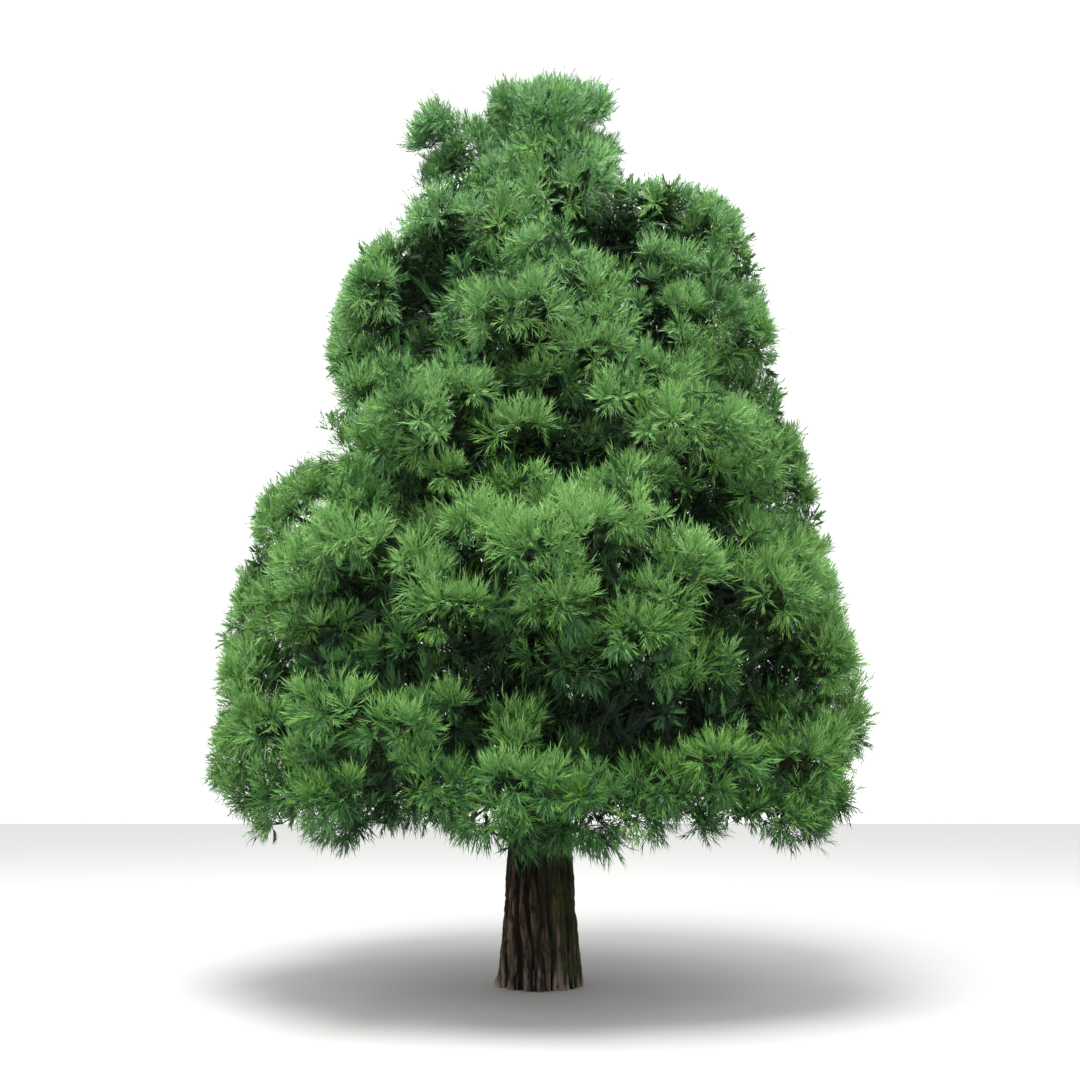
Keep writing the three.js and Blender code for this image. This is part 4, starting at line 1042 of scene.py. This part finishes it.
def plumes(p, d, f, t, s, dr, own, fresh, count, cords, reach, cord_len, cord_wide, cap, start=0.30):
    """Plumes that radiate from the points p about the ways d: stems and cordlets as awls."""
    n = len(p)
    # painted shade: leaves behind a hollow, as seen from the front, are drawn darker
    t = t - 0.42 * sunk(p)
    e1 = perpendicular(d, f)
    e2 = np.cross(d, e1)
    j = np.arange(count) + 0.5
    turn = (j * golden)[None] + rng.uniform(0, 6.28, (n, 1)) + rng.normal(0, 0.22, (n, count))
    cosl = 1 - j / count * (1 - math.cos(cap))
    lean = np.arccos(cosl)[None] + rng.normal(0, 0.10, (n, count))
    axis = d[:, None] * np.cos(lean)[..., None] + (e1[:, None] * np.cos(turn)[..., None] + e2[:, None] * np.sin(turn)[..., None]) * np.sin(lean)[..., None]
    a0 = unit(axis - UP * (0.35 * dr)[:, None, None])
    bend = 0.34 * np.clip(a0[..., 2] + 0.35, -0.35, 1) - 0.9 * dr[:, None]
    a1 = unit(a0 + UP * bend[..., None] + rng.normal(0, 0.14, a0.shape))
    length = reach * s[:, None] * rng.uniform(0.66, 1.28, (n, count)) * (1 + 0.22 * np.clip(a0[..., 2], 0, 1) + 0.30 * dr[:, None])
    # painted light: plumes that point up, or lie close to their head's axis, are drawn lighter
    tn = t[:, None] + 0.21 * a0[..., 2] + 0.10 * np.cos(lean) - 0.06 + rng.normal(0, 0.07, (n, count))
    # bluish green, partly the leaves' own tint, more of it higher up, and partly painted shade on the plumes that point
    # down
    blue = np.clip(0.06 + 0.45 * np.clip(0.10 - a0[..., 2], 0, 1), 0, 0.5) * (rng.random((n, count)) < np.interp(p[:, 2], [1.6, 4.0, 8.0], [0.28, 0.55, 0.85])[:, None])
    a0, a1, length, tn, blue = a0.reshape(-1, 3), a1.reshape(-1, 3), length.reshape(-1), tn.reshape(-1), blue.reshape(-1)
    base = np.repeat(p, count, axis=0)
    face = np.repeat(f, count, axis=0)
    dp = np.repeat(dr, count)
    sz = np.repeat(s, count)
    own = np.repeat(own, count)
    fresh = np.repeat(fresh, count)
    m = n * count

    def at(u):
        return base + length[:, None] * (a0 * (u - u * u / 2) + a1 * (u * u / 2))

    # the plume's stem: one slim awl from end to end
    e = perpendicular(unit(a0 + a1), face)
    stem = np.stack([base + e * 0.004, base - e * 0.004, at(1.0)], 1)
    # cordlets close-set along the stem in a spiral, longest low down and turned forward at the tip
    u = start + (1 - start) * (np.arange(cords) / (cords - 1)) ** 0.9
    pu = base[:, None] + length[:, None, None] * (a0[:, None] * (u - u * u / 2)[None, :, None] + a1[:, None] * (u * u / 2)[None, :, None])
    tu = unit(a0[:, None] * (1 - u)[None, :, None] + a1[:, None] * u[None, :, None])
    c1 = perpendicular(tu, np.repeat(face[:, None], cords, axis=1))
    c2 = np.cross(c1, tu)
    phi = np.arange(cords)[None] * golden + rng.uniform(0, 6.28, (m, 1)) + rng.normal(0, 0.3, (m, cords))
    angle = (0.64 - 0.38 * u)[None] * rng.uniform(0.60, 1.30, (m, cords))
    rad = c1 * np.cos(phi)[..., None] + c2 * (0.75 * np.sin(phi))[..., None]
    cd = unit(tu * np.cos(angle)[..., None] + unit(rad) * np.sin(angle)[..., None])
    ln = sz[:, None] * (cord_len * (1.15 - 0.30 * u))[None] * rng.uniform(0.66, 1.28, (m, cords))
    fc = unit(face[:, None] + rng.normal(0, 0.28, (m, cords, 3)))
    w = perpendicular(cd, fc) * (cord_wide * rng.uniform(0.78, 1.22, (m, cords)))[..., None] * 0.5
    rise = (0.10 - 0.30 * dp)[:, None, None] * ln[..., None] * UP
    foot = pu + cd * (ln * 0.10)[..., None]
    tip = pu + cd * ln[..., None] + rise
    awl = np.stack([foot + w, foot - w, tip], 2).reshape(-1, 3, 3)
    awl_tone = (tn[:, None] + 0.34 * (u - 0.62)[None] + rng.normal(0, 0.045, (m, cords))).reshape(-1)
    return (stem, shades(tn - 0.25, blue, fresh * 0), own), (awl, shades(awl_tone, np.repeat(blue, cords), np.repeat(fresh, cords)), np.repeat(own, cords))


thin = np.array([billows[k].mass.node in THIN for k in hk])
brush = ~thin & (hp[:, 2] > 8.05) & (light > 0.30)
fresh_head = np.where(rng.random(len(hp)) < np.interp(hp[:, 2], [1.6, 4.5, 8.0], [0.34, 0.22, 0.14]), 0.75, -0.72 * np.clip((hp[:, 2] - 3.9) / 4.0, 0, 1))
shut = ~thin & (light < 0.30)
open_ = ~thin & ~shut & ~brush
sets = []
for chosen, count, cords, reach, cord_len, cord_wide, cap in (
    (open_ & (hp[:, 1] < 0.9), 17, 7, 0.128, 0.082, 0.0098, 1.24),
    (open_ & (hp[:, 1] >= 0.9), 15, 7, 0.130, 0.084, 0.0106, 1.26),
    (shut, 9, 7, 0.130, 0.096, 0.0140, 1.60),
    (brush, 16, 9, 0.165, 0.086, 0.0092, 1.15),
    (thin, 13, 9, 0.160, 0.080, 0.0092, 1.35),
):
    sets.append(plumes(HT[chosen], HD[chosen], HF[chosen], head_tone[chosen], size[chosen], droop[chosen], hk[chosen], fresh_head[chosen], count, cords, reach, cord_len, cord_wide, cap))
zero_i = np.zeros(len(ip))
sets.append(plumes(ip, iw, unit(rng.normal(0, 1, iw.shape)), old_and_shaded_tone, old_size, zero_i, ik, zero_i, 6, 12, 0.20, 0.135, 0.022, 2.1))
print("open", int(open_.sum()), "shut", int(shut.sum()), "thin", int(thin.sum()))

# small holes that would let daylight through the crown, looked for from all sides, get a dim tuft each
CELL, U0, V0, NU, NV = 0.008, -3.5, 0.9, 875, 1090


def cover(grid, tri, az):
    """Mark the cells of the upright plane through the trunk that these leaves hide from a viewer at this azimuth."""
    rel = tri - (away(az) * DISTANCE + UP * EYE)
    near = DISTANCE / -(rel @ away(az))
    u = ((rel @ np.array([math.cos(math.radians(az)), math.sin(math.radians(az)), 0.0])) * near - U0) / CELL
    v = (EYE + rel[..., 2] * near - V0) / CELL
    for w, reach in ((0.5, (0.10, 0.22, 0.34, 0.46, 0.58, 0.70, 0.82)), (0.2, (0.04, 0.16, 0.30)), (0.8, (0.04, 0.16, 0.30))):
        ua, va = u[:, 0] * (1 - w) + u[:, 1] * w, v[:, 0] * (1 - w) + v[:, 1] * w
        for s in reach:
            i = (va * (1 - s) + v[:, 2] * s).astype(int)
            j = (ua * (1 - s) + u[:, 2] * s).astype(int)
            ok = (i >= 0) & (i < NV) & (j >= 0) & (j < NU)
            grid[i[ok], j[ok]] = True


def mean_box(grid, r):
    n = 2 * r + 1
    s = np.pad(grid.astype(float), ((r + 1, r), (r + 1, r))).cumsum(0).cumsum(1)
    return (s[n:, n:] - s[:-n, n:] - s[n:, :-n] + s[:-n, :-n]) / n**2


def hole_tufts(az, leaves, most, least, closed):
    """A place inside a billow for each hole seen from this azimuth, and the billow: at most so many, each at least so open, where the crown is otherwise closed."""
    grid = np.zeros((NV, NU), bool)
    for tri in leaves:
        cover(grid, tri, az)
    rows = V0 + (np.arange(NV) + 0.5) * CELL
    cols = U0 + (np.arange(NU) + 0.5) * CELL
    grid |= np.abs(cols)[None] < stem_radius(np.minimum(rows, TRUNK_TOP))[:, None] * 0.8
    lack = np.where(mean_box(grid, 18) > closed, 1 - mean_box(grid, 5), 0.0)
    eye = away(az) * DISTANCE + UP * EYE
    across = np.array([math.cos(math.radians(az)), math.sin(math.radians(az)), 0.0])
    places, owners = [], []
    for _ in range(4 * most):
        i, j = np.unravel_index(lack.argmax(), lack.shape)
        if lack[i, j] < least or len(places) >= most:
            break
        lack[max(0, i - 12):i + 13, max(0, j - 12):j + 13] = 0
        ray = across * cols[j] + UP * rows[i] - eye
        t = (C - eye) @ ray / (ray @ ray)
        at = eye + t[:, None] * ray
        rel = at - C
        miss = np.linalg.norm(np.stack([(rel * O).sum(1), (rel * S).sum(1), rel[:, 2]], 1) / R, axis=1)
        can = np.nonzero((miss < 1.05) & (at[:, 2] > 1.48) & (np.hypot(at[:, 0], at[:, 1]) < 2.78) & ~THIN_K)[0]
        if len(can):
            can = can[inside_by(at[can]) > 0.20]
        if len(can):
            k = can[np.argmin(1.6 * miss[can] + 0.10 * np.abs(t[can] - 1) * DISTANCE)]
            places.append(at[k])
            owners.append(k)
    print("holes seen from", az, len(places), "open cells inside", int((~grid & (mean_box(grid, 18) > 0.70)).sum()))
    return np.array(places).reshape(-1, 3), np.array(owners, int)


THIN_K = np.array([b.mass.node in THIN for b in billows])
fill_at, fill_k = [], []
SEARCHES = ((0, 170, 0.024, 0.70), (45, 50, 0.045, 0.70), (90, 60, 0.045, 0.70), (135, 60, 0.045, 0.70), (180, 60, 0.045, 0.70),
            (225, 60, 0.045, 0.70), (270, 60, 0.045, 0.70), (315, 50, 0.045, 0.70), (0, 120, 0.024, 0.70), (0, 160, 0.016, 0.64))
for az, most, least, closed in SEARCHES:
    at, own = hole_tufts(az, [s[1][0] for s in sets], most, least, closed)
    if not len(at):
        continue
    way = unit(rng.normal(0, 0.7, at.shape) + O[own] * 0.4 + UP * 0.4)
    dim = np.where(inside_by(at) < 0.60, rng.uniform(0.12, 0.32, len(at)), np.where(np.hypot(at[:, 0], at[:, 1]) > 0.74 * np.interp(at[:, 2], EDGE[:, 0], EDGE[:, 1]), rng.uniform(0.05, 0.22, len(at)), rng.uniform(-0.14, 0.04, len(at))))
    none = np.zeros(len(at))
    sets.append(plumes(at, way, unit(rng.normal(0, 1, at.shape)), dim, none + 0.62, none, own, none, 7, 10, 0.20, 0.130, 0.018, 2.4))
    fill_at.append(at)
    fill_k.append(own)
fill_at, fill_k = np.concatenate(fill_at), np.concatenate(fill_k)
# each of these tufts, and the old growth, hangs on a straight old twig
inner_ends = np.concatenate([ip, fill_at])
inner_roots = np.array([billows[k].root for k in np.concatenate([ik, fill_k])])
inner_v, inner_f = tubes(np.stack([inner_roots, inner_ends], 1), np.array([[0.0062, 0.0034]]) * np.ones((len(inner_ends), 1)), 3)
inner = piece("twigs_inner", inner_v.reshape(-1, 3), inner_f, [TWIG_BARK])
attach(inner, "root")
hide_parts(*[m.node for m in masses])
print("twig faces inside", len(inner_f))
stems, stem_shade, stem_own = (np.concatenate([s[0][i] for s in sets]) for i in range(3))
awls, awl_shade, awl_own = (np.concatenate([s[1][i] for s in sets]) for i in range(3))
print("stems", len(stems), "awls", len(awls), "triangles", len(stems) + len(awls), "shades", np.bincount(awl_shade, minlength=10))

GROUPS = {
    "foliage_skirt_seen": ["skirt_left", "skirt_front_left", "skirt_front", "skirt_front_right", "skirt_right"],
    "foliage_skirt_behind": ["skirt_back_right", "skirt_back", "skirt_back_left"],
    "foliage_lower_seen": ["lower_left", "lower_front_left", "lower_front", "lower_right"],
    "foliage_lower_behind": ["lower_back_right", "lower_back", "lower_back_left"],
    "foliage_middle_round": ["middle_front_left", "middle_front_right", "middle_right", "middle_back", "middle_left"],
    "foliage_upper_round": ["upper_front", "upper_right", "upper_back_right", "upper_back_left", "upper_left"],
    "foliage_top": ["high_left", "high_front", "high_right", "high_back", "crown_left", "crown_leader"],
}
for name, members in GROUPS.items():
    ids = [k for k, b in enumerate(billows) if b.mass.node[8:] in members]
    mine_s, mine_a = np.isin(stem_own, ids), np.isin(awl_own, ids)
    soup = np.concatenate([stems[mine_s], awls[mine_a]]).reshape(-1, 3)
    faces = np.arange(len(soup)).reshape(-1, 3)
    index = np.concatenate([stem_shade[mine_s], awl_shade[mine_a]])
    ob = piece(name, soup, faces, LEAVES, index=index)
    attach(ob, "root")
    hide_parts(*["foliage_" + x for x in members])
    print("piece", name, len(faces))

# ------------------------------------------------------------------ floor, light, camera
floor_mesh = bpy.data.meshes.new("floor")
g = 60.0
floor_mesh.from_pydata([(-g, -g, 0), (g, -g, 0), (g, g, 0), (-g, g, 0)], [], [(0, 1, 2, 3)])
floor = bpy.data.objects.new("floor", floor_mesh)
floor_mat, _ = principled("floor_plain", (0.56, 0.56, 0.55), 0.9, 0.1)
floor_mesh.materials.append(floor_mat)
bpy.context.scene.collection.objects.link(floor)


def area_light(name, place, target, size, power, colour=(1, 1, 1)):
    data = bpy.data.lights.new(name, "AREA")
    data.shape = "DISK"
    data.size = size
    data.energy = power
    data.color = colour
    ob = bpy.data.objects.new(name, data)
    ob.location = place
    d = np.array(target, float) - np.array(place, float)
    ob.rotation_euler = (math.atan2(math.hypot(d[0], d[1]), -d[2]), 0, math.atan2(d[1], d[0]) - math.pi / 2)
    bpy.context.scene.collection.objects.link(ob)


area_light("sky_light", (-2.0, -6.5, 19.0), (0, 0, 4.0), 12.0, 5200.0)

world = bpy.data.worlds.new("studio")
bpy.context.scene.world = world
world.use_nodes = True
bg = world.node_tree.nodes["Background"]
bg.inputs["Color"].default_value = (1.0, 1.0, 1.0, 1)
bg.inputs["Strength"].default_value = 1.35

# the photo's eye height, distance and lens
PITCH = math.atan((797 - 540) / 1092.0)
cam_data = bpy.data.cameras.new("camera")
cam_data.sensor_width = 36.0
cam_data.lens = LENS_PX / 1080 * 36.0
cam = bpy.data.objects.new("camera", cam_data)
cam.location = (0, -DISTANCE, EYE)
cam.rotation_euler = (math.pi / 2 + PITCH, 0, 0)
bpy.context.scene.collection.objects.link(cam)
bpy.context.scene.camera = cam
bpy.context.scene.view_settings.view_transform = "Standard"
